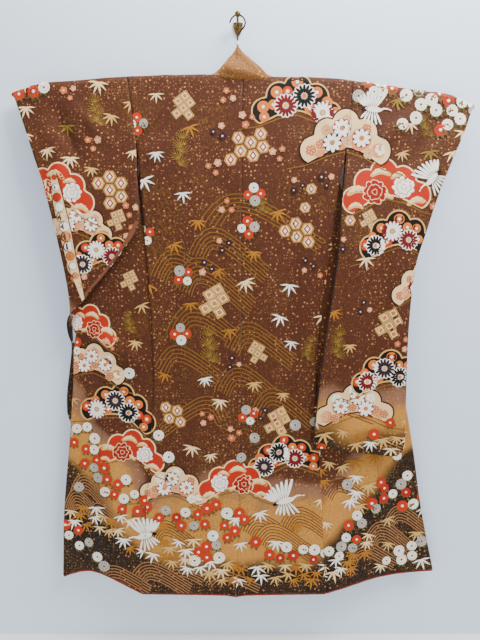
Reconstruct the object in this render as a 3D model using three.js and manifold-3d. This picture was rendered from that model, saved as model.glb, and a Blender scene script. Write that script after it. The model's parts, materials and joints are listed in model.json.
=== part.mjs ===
// A furisode (long-sleeved kimono) hung by its hanger from a brass wall hook, seen from behind.
// Millimetres. The wall is the plane y = 0, the viewer stands at -Y, +X is to the right and +Z is up.
// The origin is the middle of the wall hook's plate, on the wall.

import * as THREE from 'three';
import Module from 'manifold-3d';
import { mergeVertices } from 'three/addons/utils/BufferGeometryUtils.js';

// ---- driving sizes ----

const CLOTH = 2;              // thickness of the outer cloth and its lining together
const SEAM = 0.3;             // gap between two sewn pieces
const COLLAR_WIDTH = 113;     // the collar, unfolded
const NECK_DROP = 23;         // how far the back neckline dips below the shoulder line
const NECK_HALF = 95;         // half the neck opening
const BODY_LENGTH = 1610;     // shoulder line to hem
const ARMHOLE = 205;          // shoulder line to the lower end of the sleeve seam
const OKUMI_TOP = 230;        // shoulder line to the pointed top of the overlap panel
const COLLAR_END = 790;       // shoulder line to the lower end of the collar
const SLEEVE_LENGTH = 1110;
const SLEEVE_CORNER = 48;     // radius of the sleeve's rounded lower corner
const CUFF = 230;             // open length of the sleeve's outer edge
const HEM_ROLL = 2.4;         // radius of the padded hem roll

const BAR_Y = -30;            // the hanger bar's axis, from the wall
const BAR_RADIUS = 9.5;
const RIDGE = 12;             // radius of the cloth's middle surface over the bar
const QUARTER = RIDGE * Math.PI / 2;
const WIRE_RADIUS = 2.3;
const HOOK_TOP = 35;          // height of the wire's bend over the wall hook's arm

const COLOURS = {
  brown: 0x6b4433, ochre: 0xb08c58, rust: 0xa8452c,
  bar: 0xd9d2c4, white: 0xeeeae2, wire: 0x3a2c26, brass: 0xa08a52,
};

// ---- tables: x and z are from the origin, h is the length of cloth below the shoulder line ----

/** The rows of a table as objects with the given column names. */
const columnsOf = (names, rows) => rows.map(
  (row) => Object.fromEntries(row.map((value, i) => [names[i], value])));

// The top edge of the garment, from sleeve tip to sleeve tip.
const SHOULDER = [
  { x: -669, z: -183 }, { x: -577, z: -157 }, { x: -480, z: -149 }, { x: -368, z: -140 },
  { x: -228, z: -134 }, { x: -82, z: -132 }, { x: 108, z: -138 }, { x: 272, z: -142 },
  { x: 384, z: -156 }, { x: 534, z: -177 }, { x: 628, z: -191 }, { x: 700, z: -219 },
];

// The two side edges and the centre seam of the back, and how far the cloth hangs from the wall.
const BACK = [
  { z: -130, left: -326, centre: 13, right: 339, y: -42 },
  { z: -250, left: -311, centre: 12, right: 330, y: -49 },
  { z: -350, left: -298, centre: 11, right: 320, y: -55 },
  { z: -440, left: -290, centre: 10, right: 301, y: -58 },
  { z: -590, left: -281, centre: 9, right: 287, y: -60 },
  { z: -760, left: -270, centre: 9, right: 264, y: -61 },
  { z: -960, left: -262, centre: 9, right: 245, y: -62 },
  { z: -1060, left: -261, centre: 9, right: 243, y: -62 },
  { z: -1270, left: -277, centre: 6, right: 255, y: -62 },
  { z: -1500, left: -295, centre: 2, right: 269, y: -62 },
  { z: -1760, left: -316, centre: -8, right: 286, y: -62 },
];

// Half the back's hem, from the centre seam (u = 0) to a side corner (u = 1).
const HEM = [{ u: 0, z: -1757 }, { u: 0.12, z: -1752 }, { u: 1, z: -1747 }];

// A front and its overlap panel, one row for each section across the cloth. The section starts at the side
// seam, runs round the roll point and ends at the front edge, where the collar is sewn.
const FRONT_COLUMNS = ['h', 'sideX', 'sideZ', 'sideY', 'rollX', 'rollZ', 'edgeX', 'edgeZ', 'edgeY'];
const FRONT_RIGHT = columnsOf(FRONT_COLUMNS, [
  [0, 339, -146, -30, 222, -141, 108, -138, -30],
  [19, 338, -158, -18, 224, -153, 110, -150, -18],
  [120, 329, -259, -25, 226, -256, 123, -250, -17],
  [205, 316, -345, -38, 240, -348, 142, -333, -17],
  [300, 297, -440, -50, 318, -462, 170, -424, -17],
  [450, 280, -593, -56, 430, -640, 232, -560, -17],
  [600, 262, -742, -58, 505, -765, 320, -688, -18],
  [700, 251, -840, -59, 520, -850, 392, -766, -20],
  [790, 243, -930, -59, 520, -918, 450, -836, -24],
  [870, 241, -1010, -59, 430, -985, 494, -932, -28],
  [1000, 240, -1140, -59, 400, -1128, 518, -1060, -30],
  [1200, 253, -1340, -59, 415, -1322, 561, -1275, -30],
  [1400, 266, -1540, -59, 425, -1518, 597, -1482, -28],
  [1610, 283, -1748, -59, 436, -1702, 644, -1690, -26],
]);

const FRONT_LEFT = columnsOf(FRONT_COLUMNS, [
  [0, -326, -138, -30, -204, -133, -86, -132, -30],
  [19, -325, -150, -18, -205, -146, -90, -144, -18],
  [120, -313, -251, -25, -226, -250, -128, -234, -17],
  [205, -297, -337, -38, -256, -360, -170, -306, -17],
  [300, -286, -433, -50, -330, -470, -224, -390, -17],
  [450, -278, -583, -56, -470, -615, -306, -524, -18],
  [600, -268, -735, -58, -530, -730, -392, -656, -22],
  [700, -262, -836, -58, -542, -822, -438, -744, -27],
  [790, -258, -926, -59, -548, -894, -470, -826, -34],
  [870, -257, -1006, -59, -460, -960, -504, -912, -44],
  [1000, -257, -1136, -59, -400, -1110, -515, -1048, -45],
  [1200, -273, -1335, -59, -410, -1300, -537, -1262, -42],
  [1400, -290, -1537, -59, -435, -1500, -563, -1480, -38],
  [1610, -312, -1748, -59, -468, -1666, -577, -1706, -34],
]);

// Where the seam between front and overlap panel runs, as a share of the section.
const OKUMI_SEAM = [
  { h: OKUMI_TOP, share: 0.955 }, { h: 450, share: 0.82 }, { h: COLLAR_END, share: 0.655 },
  { h: BODY_LENGTH, share: 0.6 },
];

// Each sleeve, one row for each section: the outer edge, the inner edge, and half the space inside it.
const SLEEVE_RIGHT = [
  { h: 0, outX: 700, outZ: -219, outY: -30, inX: 340.6, inZ: -146, inY: -30, half: 0.2 },
  { h: 100, outX: 664, outZ: -306, outY: -40, inX: 332, inZ: -246, inY: -37.5, half: 11 },
  { h: 205, outX: 622, outZ: -408, outY: -52, inX: 322, inZ: -351, inY: -47, half: 9 },
  { h: 300, outX: 592, outZ: -492, outY: -60, inX: 312, inZ: -446, inY: -60, half: 8 },
  { h: 400, outX: 562, outZ: -588, outY: -66, inX: 304, inZ: -546, inY: -70, half: 7 },
  { h: 500, outX: 534, outZ: -682, outY: -70, inX: 299, inZ: -646, inY: -75, half: 7 },
  { h: 620, outX: 521, outZ: -800, outY: -72, inX: 285, inZ: -766, inY: -77, half: 7 },
  { h: 750, outX: 516, outZ: -928, outY: -72, inX: 267, inZ: -896, inY: -78, half: 7 },
  { h: 900, outX: 517, outZ: -1078, outY: -72, inX: 250, inZ: -1045, inY: -78, half: 7 },
  { h: 1110, outX: 520, outZ: -1288, outY: -72, inX: 231, inZ: -1252, inY: -78, half: 5 },
];

const SLEEVE_LEFT = [
  { h: 0, outX: -669, outZ: -183, outY: -30, inX: -327.6, inZ: -138, inY: -30, half: 0.2 },
  { h: 100, outX: -631, outZ: -280, outY: -40, inX: -315.8, inZ: -238, inY: -37.5, half: 11 },
  { h: 205, outX: -597, outZ: -385, outY: -52, inX: -301.2, inZ: -343, inY: -47, half: 9 },
  { h: 300, outX: -572, outZ: -470, outY: -60, inX: -297, inZ: -438, inY: -59, half: 6 },
  { h: 370, outX: -559, outZ: -525, outY: -63, inX: -294, inZ: -510, inY: -63, half: 5 },
  { h: 430, outX: -548, outZ: -572, outY: -65, inX: -294, inZ: -572, inY: -67, half: 4 },
  { h: 520, outX: -532, outZ: -648, outY: -68, inX: -352, inZ: -662, inY: -69, half: 3 },
  { h: 600, outX: -519, outZ: -720, outY: -68, inX: -414, inZ: -736, inY: -69, half: 2.6 },
  { h: 680, outX: -511, outZ: -792, outY: -64, inX: -470, inZ: -802, inY: -68, half: 2.4 },
  { h: 735, outX: -515, outZ: -846, outY: -46, inX: -512, inZ: -846, inY: -68, half: 2.4 },
  { h: 790, outX: -521, outZ: -900, outY: -22, inX: -524, inZ: -896, inY: -46, half: 2.4 },
  { h: 850, outX: -528, outZ: -958, outY: -12, inX: -508, inZ: -952, inY: -24, half: 2.4 },
  { h: 930, outX: -540, outZ: -1036, outY: -10, inX: -440, inZ: -1040, inY: -15, half: 2.6 },
  { h: 1010, outX: -550, outZ: -1110, outY: -10, inX: -370, inZ: -1130, inY: -14, half: 2.8 },
  { h: 1110, outX: -551, outZ: -1210, outY: -10, inX: -325, inZ: -1230, inY: -13, half: 2.4 },
];

// The largest folds: soft ridges (towards the viewer) and troughs along a line, over a piece of the garment.
const FOLDS = [
  { on: 'sleeve_left', x1: -560, z1: -165, x2: -470, z2: -420, wide: 26, high: -7 },
  { on: 'sleeve_left', x1: -545, z1: -160, x2: -395, z2: -245, wide: 24, high: 7 },
  { on: 'sleeve_left', x1: -535, z1: -420, x2: -476, z2: -760, wide: 26, high: 6 },
  { on: 'sleeve_right', x1: 600, z1: -200, x2: 520, z2: -430, wide: 28, high: -7 },
  { on: 'sleeve_right', x1: 570, z1: -190, x2: 430, z2: -290, wide: 26, high: 6 },
  { on: 'sleeve_right', x1: 430, z1: -420, x2: 400, z2: -1180, wide: 34, high: -7 },
  { on: 'sleeve_right', x1: 352, z1: -480, x2: 322, z2: -1160, wide: 30, high: 5 },
  { on: 'back', x1: -140, z1: -420, x2: -150, z2: -1650, wide: 45, high: 6 },
  { on: 'back', x1: 165, z1: -500, x2: 150, z2: -1250, wide: 36, high: -7 },
  { on: 'back', x1: 90, z1: -700, x2: 110, z2: -1680, wide: 45, high: 6 },
  { on: 'back', x1: -215, z1: -330, x2: -285, z2: -395, wide: 20, high: 5 },
  { on: 'front_left', x1: -430, z1: -905, x2: -300, z2: -985, wide: 26, high: 9 },
  { on: 'front_left', x1: -400, z1: -1150, x2: -450, z2: -1650, wide: 34, high: 7 },
  { on: 'front_right', x1: 420, z1: -1250, x2: 470, z2: -1650, wide: 36, high: 8 },
];

// ---- curves through a table ----

/** The value of a column where the key column has the given value, on a smooth curve through the rows. */
function along(rows, key, column, where) {
  const last = rows.length - 1;
  const place = Math.min(Math.max(where, rows[0][key] < rows[last][key] ? rows[0][key] : rows[last][key]),
    rows[0][key] < rows[last][key] ? rows[last][key] : rows[0][key]);
  const rising = rows[0][key] < rows[last][key];
  let i = 0;
  while (i < last - 1 && (rising ? place > rows[i + 1][key] : place < rows[i + 1][key])) i += 1;
  const [a, b] = [rows[i], rows[i + 1]];
  const slope = (p, q) => (q[column] - p[column]) / (q[key] - p[key]);
  const span = b[key] - a[key];
  const slopeA = i > 0 ? slope(rows[i - 1], b) : slope(a, b);
  const slopeB = i + 2 <= last ? slope(a, rows[i + 2]) : slope(a, b);
  const t = (place - a[key]) / span;
  const [t2, t3] = [t * t, t * t * t];
  return (2 * t3 - 3 * t2 + 1) * a[column] + (t3 - 2 * t2 + t) * span * slopeA
    + (3 * t2 - 2 * t3) * b[column] + (t3 - t2) * span * slopeB;
}

const mix = (a, b, t) => a + (b - a) * t;
const clamp = (value, low, high) => Math.min(Math.max(value, low), high);
const ease = (low, high, value) => {
  const t = clamp((value - low) / (high - low), 0, 1);
  return t * t * (3 - 2 * t);
};
const vector = (x, y, z) => new THREE.Vector3(x, y, z);

/** How far the folds of one part of the garment push a point of it towards the viewer. */
function foldHeight(on, x, z) {
  let height = 0;
  for (const fold of FOLDS) {
    if (fold.on !== on) continue;
    const [dx, dz] = [fold.x2 - fold.x1, fold.z2 - fold.z1];
    const t = clamp(((x - fold.x1) * dx + (z - fold.z1) * dz) / (dx * dx + dz * dz), 0, 1);
    const away = Math.hypot(x - fold.x1 - t * dx, z - fold.z1 - t * dz);
    height += fold.high * Math.exp(-((away / fold.wide) ** 2)) * Math.sin(Math.PI * mix(0.15, 0.9, t));
  }
  return height;
}

// ---- the cloth's middle surfaces ----

/** A point of cloth that turns over the bar, to the viewer's side (face -1) or the wall's side (face 1). */
function overBar(x, top, face, d, radius) {
  const turn = d / RIDGE;
  return vector(x, BAR_Y + face * (SEAM / 2 + radius * Math.sin(turn)), top - RIDGE * (1 - Math.cos(turn)));
}

/** A point of the back: u runs from the centre seam to a side edge, h down the cloth. */
function backPoint(side, u, h) {
  const edge = side < 0 ? 'left' : 'right';
  const x0 = mix(BACK[0].centre, BACK[0][edge], u);
  const shoulder = along(SHOULDER, 'x', 'z', x0);
  const share = clamp(Math.abs(x0 - BACK[0].centre) / NECK_HALF, 0, 1);
  const neck = NECK_DROP * (1 - share ** 3.5);
  const hem = along(HEM, 'u', 'z', u);
  const full = shoulder - hem - RIDGE + QUARTER;
  const d = neck + h / BODY_LENGTH * (full - neck);
  if (d < QUARTER) return overBar(x0, shoulder, -1, d, RIDGE);
  const z = shoulder - RIDGE - (d - QUARTER);
  const x = mix(along(BACK, 'z', 'centre', z), along(BACK, 'z', edge, z), u);
  const fade = ease(0, 0.12, 1 - u) * ease(20, 160, d);
  return vector(x, along(BACK, 'z', 'y', z) - fade * foldHeight('back', x, z), z);
}

/** One section of a front: points evenly spaced along the cloth from the side seam to the front edge. */
const sections = new Map();
function frontSection(side, h) {
  const name = `${side} ${h}`;
  if (sections.has(name)) return sections.get(name);
  const rows = side < 0 ? FRONT_LEFT : FRONT_RIGHT;
  const value = (column) => along(rows, 'h', column, h);
  const start = vector(value('sideX'), value('sideY'), value('sideZ'));
  const end = vector(value('edgeX'), value('edgeY'), value('edgeZ'));
  const [rollX, rollZ] = [value('rollX'), value('rollZ')];
  const curve = new THREE.CubicBezierCurve3(
    start, vector(rollX, start.y, rollZ), vector(rollX, end.y, rollZ), end);
  sections.set(name, curve);
  return curve;
}

/** A point of a front and its overlap panel: share runs from the side seam to the front edge. */
function frontPoint(side, share, h) {
  const curve = frontSection(side, h);
  const point = curve.getPointAt(clamp(share, 0, 1));
  if (h < QUARTER) return overBar(point.x, along(SHOULDER, 'x', 'z', point.x), 1, h, RIDGE);
  const fade = ease(0, 0.15, share) * ease(0, 0.1, 1 - share);
  point.y -= fade * foldHeight(side < 0 ? 'front_left' : 'front_right', point.x, point.z);
  return point;
}

/** The middle of a sleeve, between its two layers: u runs from the outer edge to the inner edge. */
function sleeveMiddle(side, u, h) {
  const rows = side < 0 ? SLEEVE_LEFT : SLEEVE_RIGHT;
  const value = (column, at) => along(rows, 'h', column, at);
  const top = vector(mix(value('outX', 0), value('inX', 0), u), BAR_Y, 0);
  top.z = along(SHOULDER, 'x', 'z', top.x);
  const width = Math.abs(value('outX', h) - value('inX', h));
  const inset = SLEEVE_CORNER - Math.min(u * width, SLEEVE_CORNER);
  const corner = SLEEVE_CORNER - Math.sqrt(SLEEVE_CORNER ** 2 - inset ** 2);
  const below = h - corner * ease(SLEEVE_LENGTH - 250, SLEEVE_LENGTH, h);
  const flat = vector(
    mix(value('outX', below), value('inX', below), u),
    mix(value('outY', below), value('inY', below), u),
    mix(value('outZ', below), value('inZ', below), u),
  );
  // Near the shoulder line the section follows the hanger's slope, lower down the edges of the sleeve.
  const hang = ease(0, ARMHOLE, h);
  const straight = mix(along(rows, 'h', 'outZ', 0), along(rows, 'h', 'inZ', 0), u);
  flat.z += (1 - hang) * (top.z - straight);
  const loose = side < 0 ? 1 - ease(620, 720, h) : 1;
  const reach = ease(30, 160, h) * ease(0, 0.1, u) * ease(0, 0.12, 1 - u) * loose;
  flat.y -= reach * foldHeight(side < 0 ? 'sleeve_left' : 'sleeve_right', flat.x, flat.z);
  return flat;
}

/** Half the space at the top of a sleeve: the bar's width over the bar, less in the tip beyond it. */
function tipRadius(side, u) {
  const { outX, inX } = (side < 0 ? SLEEVE_LEFT : SLEEVE_RIGHT)[0];
  return mix(5, RIDGE, ease(15, 70, u * Math.abs(outX - inX)));
}

/** Half the space between a sleeve's layers: none at the sewn edges, the bar's width over the bar. */
function sleeveHalf(side, u, h) {
  const rows = side < 0 ? SLEEVE_LEFT : SLEEVE_RIGHT;
  const shut = CLOTH / 2 + SEAM / 2 + 0.05;
  const open = along(rows, 'h', 'half', Math.max(h, 100));
  const space = mix(tipRadius(side, u), open, ease(QUARTER, 100, h));
  const sewnSide = ease(CUFF - 30, CUFF + 40, h) * (1 - ease(0, 0.16, u));
  const sewnEnd = ease(SLEEVE_LENGTH - 90, SLEEVE_LENGTH, h);
  return mix(space, shut, Math.max(sewnSide, sewnEnd));
}

/** The direction square to a surface at one of its points. */
function squareTo(point, u, v, reachU, reachV) {
  const [stepU, stepV] = [(reachU[1] - reachU[0]) * 0.002, 0.4];
  const du = point(Math.min(u + stepU, reachU[1]), v).sub(point(Math.max(u - stepU, reachU[0]), v));
  const dv = point(u, Math.min(v + stepV, reachV[1])).sub(point(u, Math.max(v - stepV, reachV[0])));
  return du.cross(dv).normalize();
}

/** A point of one layer of a sleeve: face is -1 for the layer towards the viewer, 1 towards the wall. */
function sleevePoint(side, face, u, h) {
  if (h < QUARTER) {
    const middle = sleeveMiddle(side, u, 0);
    return overBar(middle.x, middle.z, face, h, tipRadius(side, u));
  }
  const middle = (a, b) => sleeveMiddle(side, a, b);
  const away = squareTo(middle, u, h, [0, 1], [QUARTER, SLEEVE_LENGTH]);
  if (side > 0) away.negate();
  const start = sleeveMiddle(side, u, 0).z - RIDGE;
  const point = middle(u, h);
  point.z = mix(start - (h - QUARTER), point.z, ease(QUARTER, ARMHOLE, h));
  return point.addScaledVector(away, face * sleeveHalf(side, u, h));
}

// ---- solids ----

const material = (colour, roughness = 0.85, metalness = 0) =>
  new THREE.MeshStandardMaterial({ color: colour, roughness, metalness });

/** A wall of even thickness on both sides of a surface, with its rim closed. */
function wall(name, columns, rows, point, colour, thickness = CLOTH, outward = null) {
  const positions = [];
  const across = columns.length;
  const sheet = across * rows.length;
  const reach = [[columns[0], columns[across - 1]], [rows[0], rows[rows.length - 1]]];
  for (const half of [thickness / 2, -thickness / 2]) {
    for (const v of rows) {
      for (const u of columns) {
        const away = outward ? outward(u, v) : squareTo(point, u, v, ...reach);
        positions.push(...point(u, v).addScaledVector(away, half).toArray());
      }
    }
  }
  const faces = [];
  for (let i = 0; i < rows.length - 1; i += 1) {
    for (let j = 0; j < across - 1; j += 1) {
      const a = i * across + j;
      const [b, c, d] = [a + 1, a + across, a + across + 1];
      faces.push(a, b, c, b, d, c);
      faces.push(sheet + a, sheet + c, sheet + b, sheet + b, sheet + c, sheet + d);
    }
  }
  const rim = [];
  for (let j = 0; j < across; j += 1) rim.push(j);
  for (let i = 1; i < rows.length; i += 1) rim.push(i * across + across - 1);
  for (let j = across - 2; j >= 0; j -= 1) rim.push((rows.length - 1) * across + j);
  for (let i = rows.length - 2; i > 0; i -= 1) rim.push(i * across);
  rim.forEach((p, i) => {
    const q = rim[(i + 1) % rim.length];
    faces.push(p, sheet + p, sheet + q, p, sheet + q, q);
  });
  const geometry = new THREE.BufferGeometry();
  geometry.setAttribute('position', new THREE.Float32BufferAttribute(positions, 3));
  geometry.setIndex(faces);
  geometry.computeVertexNormals();
  const mesh = new THREE.Mesh(geometry, material(colour));
  mesh.name = name;
  return mesh;
}

/** A round bar along a smooth curve through points. */
function rod(name, points, radius, steps, sides, finish) {
  const section = new THREE.Shape(Array.from({ length: sides }, (_, i) => {
    const turn = 2 * Math.PI * i / sides;
    return new THREE.Vector2(radius * Math.cos(turn), radius * Math.sin(turn));
  }));
  const path = new THREE.CatmullRomCurve3(points, false, 'centripetal');
  const geometry = new THREE.ExtrudeGeometry(section, { steps, extrudePath: path, bevelEnabled: false });
  const mesh = new THREE.Mesh(geometry, finish);
  mesh.name = name;
  return mesh;
}

const spaced = (from, to, count) => Array.from({ length: count + 1 }, (_, i) => mix(from, to, i / count));

const furisode = new THREE.Group();

// ---- the body ----

// The cloth turns over the bar in the first four rows, and later rows are further apart.
const TURN_ROWS = [0, 5, 10, 14.5, QUARTER];
const BACK_ROWS = [...TURN_ROWS, 50, 100, 150, ARMHOLE, 270, 340, 420, 500, ...spaced(590, BODY_LENGTH, 11)];
const FRONT_ROWS = [...TURN_ROWS, 50, 100, 150, ARMHOLE, OKUMI_TOP, 265, 300, 350, 400, 450, 500, 550, 600,
  625, 640, 650, 658, 666, 675, 690, 720, 755, COLLAR_END, 830, 870, 935, ...spaced(1010, BODY_LENGTH, 6)];
const NECK_SHARE = NECK_HALF / (BACK[0].right - BACK[0].centre);
const NECK_COLUMNS = [0.25, 0.5, 0.7, 0.85, 0.93, 1];
const backGap = SEAM / 2 / (BACK[0].right - BACK[0].centre);

for (const [side, name] of [[-1, 'left'], [1, 'right']]) {
  // Columns run from left to right on both sides, so that the faces point out.
  const outward = [backGap, ...NECK_COLUMNS.map((t) => t * NECK_SHARE), ...spaced(0.38, 1, 7)];
  const columns = side < 0 ? outward.map((u) => -u).reverse() : outward;
  furisode.add(wall(`back_${name}`, columns, BACK_ROWS,
    (u, h) => backPoint(side, Math.abs(u), h), COLOURS.brown));
}

// ---- the fronts and the overlap panels ----

const PANEL_ROWS = FRONT_ROWS.filter((h) => h >= OKUMI_TOP);
const SEAM_PLAY = 2;            // this seam runs slantwise through the roll, so its gap is wider

/** The share of a section where the overlap panel's seam runs. */
function okumiSeam(h) {
  const top = PANEL_ROWS[1];
  if (h >= top) return along(OKUMI_SEAM, 'h', 'share', h);
  return mix(1, along(OKUMI_SEAM, 'h', 'share', top), ease(ARMHOLE, top, h));
}

/** The direction square to a front, to the side that faces the wall below the roll. */
function frontSquare(side, share, h) {
  const point = (u, v) => frontPoint(side, Math.abs(u), v);
  return squareTo(point, side * share, h, side < 0 ? [-1, 0] : [0, 1], [0, BODY_LENGTH]);
}

/** A point of the seam, moved across it by the given distance, towards the front edge if that is positive. */
function besideSeam(side, h, across) {
  const seam = (v) => frontPoint(side, okumiSeam(v), v);
  const run = seam(Math.min(h + 2, BODY_LENGTH)).sub(seam(Math.max(h - 2, PANEL_ROWS[1])));
  const away = run.cross(frontSquare(side, okumiSeam(h), h)).normalize();
  return seam(h).addScaledVector(away, side * across);
}

for (const [side, name] of [[-1, 'left'], [1, 'right']]) {
  // The section starts at the side seam, so on the left it runs from right to left.
  const columns = (count) => (side < 0 ? spaced(-1, 0, count) : spaced(0, 1, count));
  const frontShare = (t, h) => Math.abs(t) * okumiSeam(h);
  const panelShare = (t, h) => mix(okumiSeam(h), 1, Math.abs(t));
  furisode.add(wall(`front_${name}`, columns(9), FRONT_ROWS,
    (t, h) => (Math.abs(t) === 1 && h >= PANEL_ROWS[1]
      ? besideSeam(side, h, -SEAM * SEAM_PLAY / 2) : frontPoint(side, frontShare(t, h), h)),
    COLOURS.brown, CLOTH, (t, h) => frontSquare(side, frontShare(t, h), h)));
  furisode.add(wall(`okumi_${name}`, columns(5), PANEL_ROWS.slice(1),
    (t, h) => (t === 0
      ? besideSeam(side, h, SEAM * SEAM_PLAY / 2) : frontPoint(side, panelShare(t, h), h)),
    COLOURS.ochre, CLOTH, (t, h) => frontSquare(side, panelShare(t, h), h)));
}

// ---- the sleeves ----

const SLEEVE_ROWS = {
  left: [...TURN_ROWS, 50, 100, 150, ARMHOLE, 250, 300, 345, 390, 430, 475, 520, 560, 600, 640, 680, 708, 735,
    762, 790, 820, 850, 890, 930, 970, 1010, 1050, 1085, SLEEVE_LENGTH],
  right: [...TURN_ROWS, 50, 100, 150, ARMHOLE, 260, 320, 390, 460, 540, 630, 730, 830, 930, 1010, 1055, 1085,
    1102, SLEEVE_LENGTH],
};

for (const [side, name] of [[-1, 'left'], [1, 'right']]) {
  // A column runs from left to right on the layer towards the viewer and back on the other layer.
  const columns = [0, 0.03, 0.08, 0.15, ...spaced(0.25, 1, 6)];
  for (const [face, layer] of [[-1, 'outer'], [1, 'inner']]) {
    const mirrored = side * face > 0;
    const ordered = mirrored ? columns.map((u) => -u).reverse() : columns;
    furisode.add(wall(`sleeve_${name}_${layer}`, ordered, SLEEVE_ROWS[name],
      (u, h) => sleevePoint(side, face, Math.abs(u), h), COLOURS.brown, CLOTH * 0.8));
  }
}

// ---- the collar ----

const COLLAR_ROWS = [0, ...NECK_COLUMNS,
  ...FRONT_ROWS.filter((h) => h > 0 && h <= COLLAR_END).map((h) => 1 + h / COLLAR_END)];

// The free edge at the back of the neck, where the collar leans on the hook, and beside the shoulders.
const COLLAR_PEAK = vector(-1, -36, -50);
const COLLAR_SHOULDER = { left: vector(-27, -27, -82), right: vector(31, -27, -80) };
const COLLAR_LIFT = 22;       // how far the collar follows the cloth's direction before it turns
const COLLAR_GAP = 0.6;       // gap at its seam, which runs round the neck point

/** A point of the collar: w runs from the seam to the free edge, s from the back of the neck to an end. */
function collarPoint(side, s, w) {
  const shoulderEdge = side < 0 ? COLLAR_SHOULDER.left : COLLAR_SHOULDER.right;
  let seam;
  let onward;
  let apart;
  let free;
  if (s <= 1) {
    const neck = (u, h) => backPoint(side, u * NECK_SHARE, h);
    seam = neck(s, 0);
    const edge = neck(Math.min(s + 0.02, 1), 0).sub(neck(Math.max(s - 0.02, 0), 0)).normalize();
    const down = neck(s, 3).sub(seam).normalize();
    onward = edge.multiplyScalar(edge.dot(down)).sub(down).normalize();
    onward.lerp(vector(-side, 0, 0), ease(0.8, 1, s)).normalize();
    apart = onward;
    const t = s ** 1.4;
    free = COLLAR_PEAK.clone().lerp(shoulderEdge, t);
    free.z -= 5 * Math.sin(Math.PI * t);
  } else {
    const h = (s - 1) * COLLAR_END;
    seam = frontPoint(side, 1, h);
    onward = seam.clone().sub(frontPoint(side, 0.995, h)).normalize();
    const edge = frontPoint(side, 1, Math.min(h + 30, COLLAR_END))
      .sub(frontPoint(side, 1, Math.max(h - 30, 0))).normalize();
    const inward = vector(side * edge.z, 0, -side * edge.x).multiplyScalar(COLLAR_WIDTH);
    const low = seam.clone().add(inward);
    low.y = Math.max(seam.y, -20) + 4;
    const t = ease(0, 120, h);
    free = shoulderEdge.clone().lerp(low, t);
    free.y = mix(shoulderEdge.y, low.y, ease(0, 40, h));
    apart = inward.normalize();
    onward.lerp(apart, 0.5 * ease(60, 200, h)).normalize();
    apart = onward.clone().lerp(apart, ease(0, 60, h)).normalize();
  }
  const start = seam.addScaledVector(apart, COLLAR_GAP);
  const lift = start.clone().addScaledVector(onward, COLLAR_LIFT);
  return new THREE.QuadraticBezierCurve3(start, lift, free).getPoint(w);
}

const collarRows = [...COLLAR_ROWS.slice(1).map((s) => -s).reverse(), ...COLLAR_ROWS];
furisode.add(wall('collar', spaced(-1, 0, 4), collarRows,
  (w, s) => collarPoint(s < 0 ? -1 : 1, Math.abs(s), -w), COLOURS.brown));

// ---- the hem rolls ----

const plain = { cloth: material(COLOURS.rust), wood: material(COLOURS.bar, 0.5) };

/** The hem roll's path just below a hem: out from its points in the cloth's surface, square to the hem. */
function belowHem(point, shares) {
  return shares.map((share) => {
    const end = point(share, BODY_LENGTH);
    const down = end.clone().sub(point(share, BODY_LENGTH - 4));
    const edge = point(Math.min(share + 0.01, 1), BODY_LENGTH)
      .sub(point(Math.max(share - 0.01, 0), BODY_LENGTH)).normalize();
    down.addScaledVector(edge, -down.dot(edge)).normalize();
    return end.addScaledVector(down, HEM_ROLL + 2 * SEAM + 0.1);
  });
}

const backHem = [
  ...belowHem((u, h) => backPoint(-1, u, h), [...spaced(0.995, 0.1, 7), 0.03, 0]),
  ...belowHem((u, h) => backPoint(1, u, h), [0.03, ...spaced(0.1, 0.995, 7)]),
];
furisode.add(rod('hem_roll_back', backHem, HEM_ROLL, 48, 5, plain.cloth));
for (const [side, name] of [[-1, 'left'], [1, 'right']]) {
  const hem = belowHem((share, h) => frontPoint(side, share, h), spaced(0.035, 0.995, 20));
  furisode.add(rod(`hem_roll_${name}`, hem, HEM_ROLL, 34, 5, plain.cloth));
}

// ---- the hanger ----

const HOOK_X = -1;
const GRIP = { half: 45, height: 20, depth: 15, corner: 8 };
const ARM_END = 335;                                 // where the outer tubes end and the inner rods begin
const ROD_RADIUS = 8.8;
const barPoint = (x) => vector(x, BAR_Y, along(SHOULDER, 'x', 'z', x) - RIDGE);

const gripShape = new THREE.Shape();
{
  const [a, b, r] = [GRIP.half, GRIP.height / 2, GRIP.corner];
  gripShape.moveTo(-a + r, -b).lineTo(a - r, -b).absarc(a - r, -b + r, r, -Math.PI / 2, 0)
    .absarc(a - r, b - r, r, 0, Math.PI / 2).lineTo(-a + r, b).absarc(-a + r, b - r, r, Math.PI / 2, Math.PI)
    .absarc(-a + r, -b + r, r, Math.PI, Math.PI * 1.5);
}
const grip = new THREE.Mesh(
  new THREE.ExtrudeGeometry(gripShape, { depth: GRIP.depth, bevelEnabled: false, curveSegments: 5 }),
  material(COLOURS.bar, 0.5));
grip.name = 'hanger_grip';
const gripTilt = Math.atan2(barPoint(GRIP.half).z - barPoint(-GRIP.half).z, 2 * GRIP.half);
grip.rotation.set(Math.PI / 2, 0, 0);
grip.rotation.order = 'YXZ';
grip.rotation.y = -gripTilt;
grip.position.copy(barPoint(HOOK_X)).add(vector(0, GRIP.depth / 2, 0));
furisode.add(grip);

for (const [side, name, tip] of [[-1, 'left', -588], [1, 'right', 618]]) {
  const from = HOOK_X + side * (GRIP.half + SEAM);
  const arm = spaced(from, side * ARM_END, 8).map(barPoint);
  furisode.add(rod(`hanger_arm_${name}`, arm, BAR_RADIUS, 8, 12, plain.wood));
  const slide = spaced(side * (ARM_END + SEAM), tip, 8).map(barPoint);
  furisode.add(rod(`hanger_rod_${name}`, slide, ROD_RADIUS, 8, 12, plain.wood));
}

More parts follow.
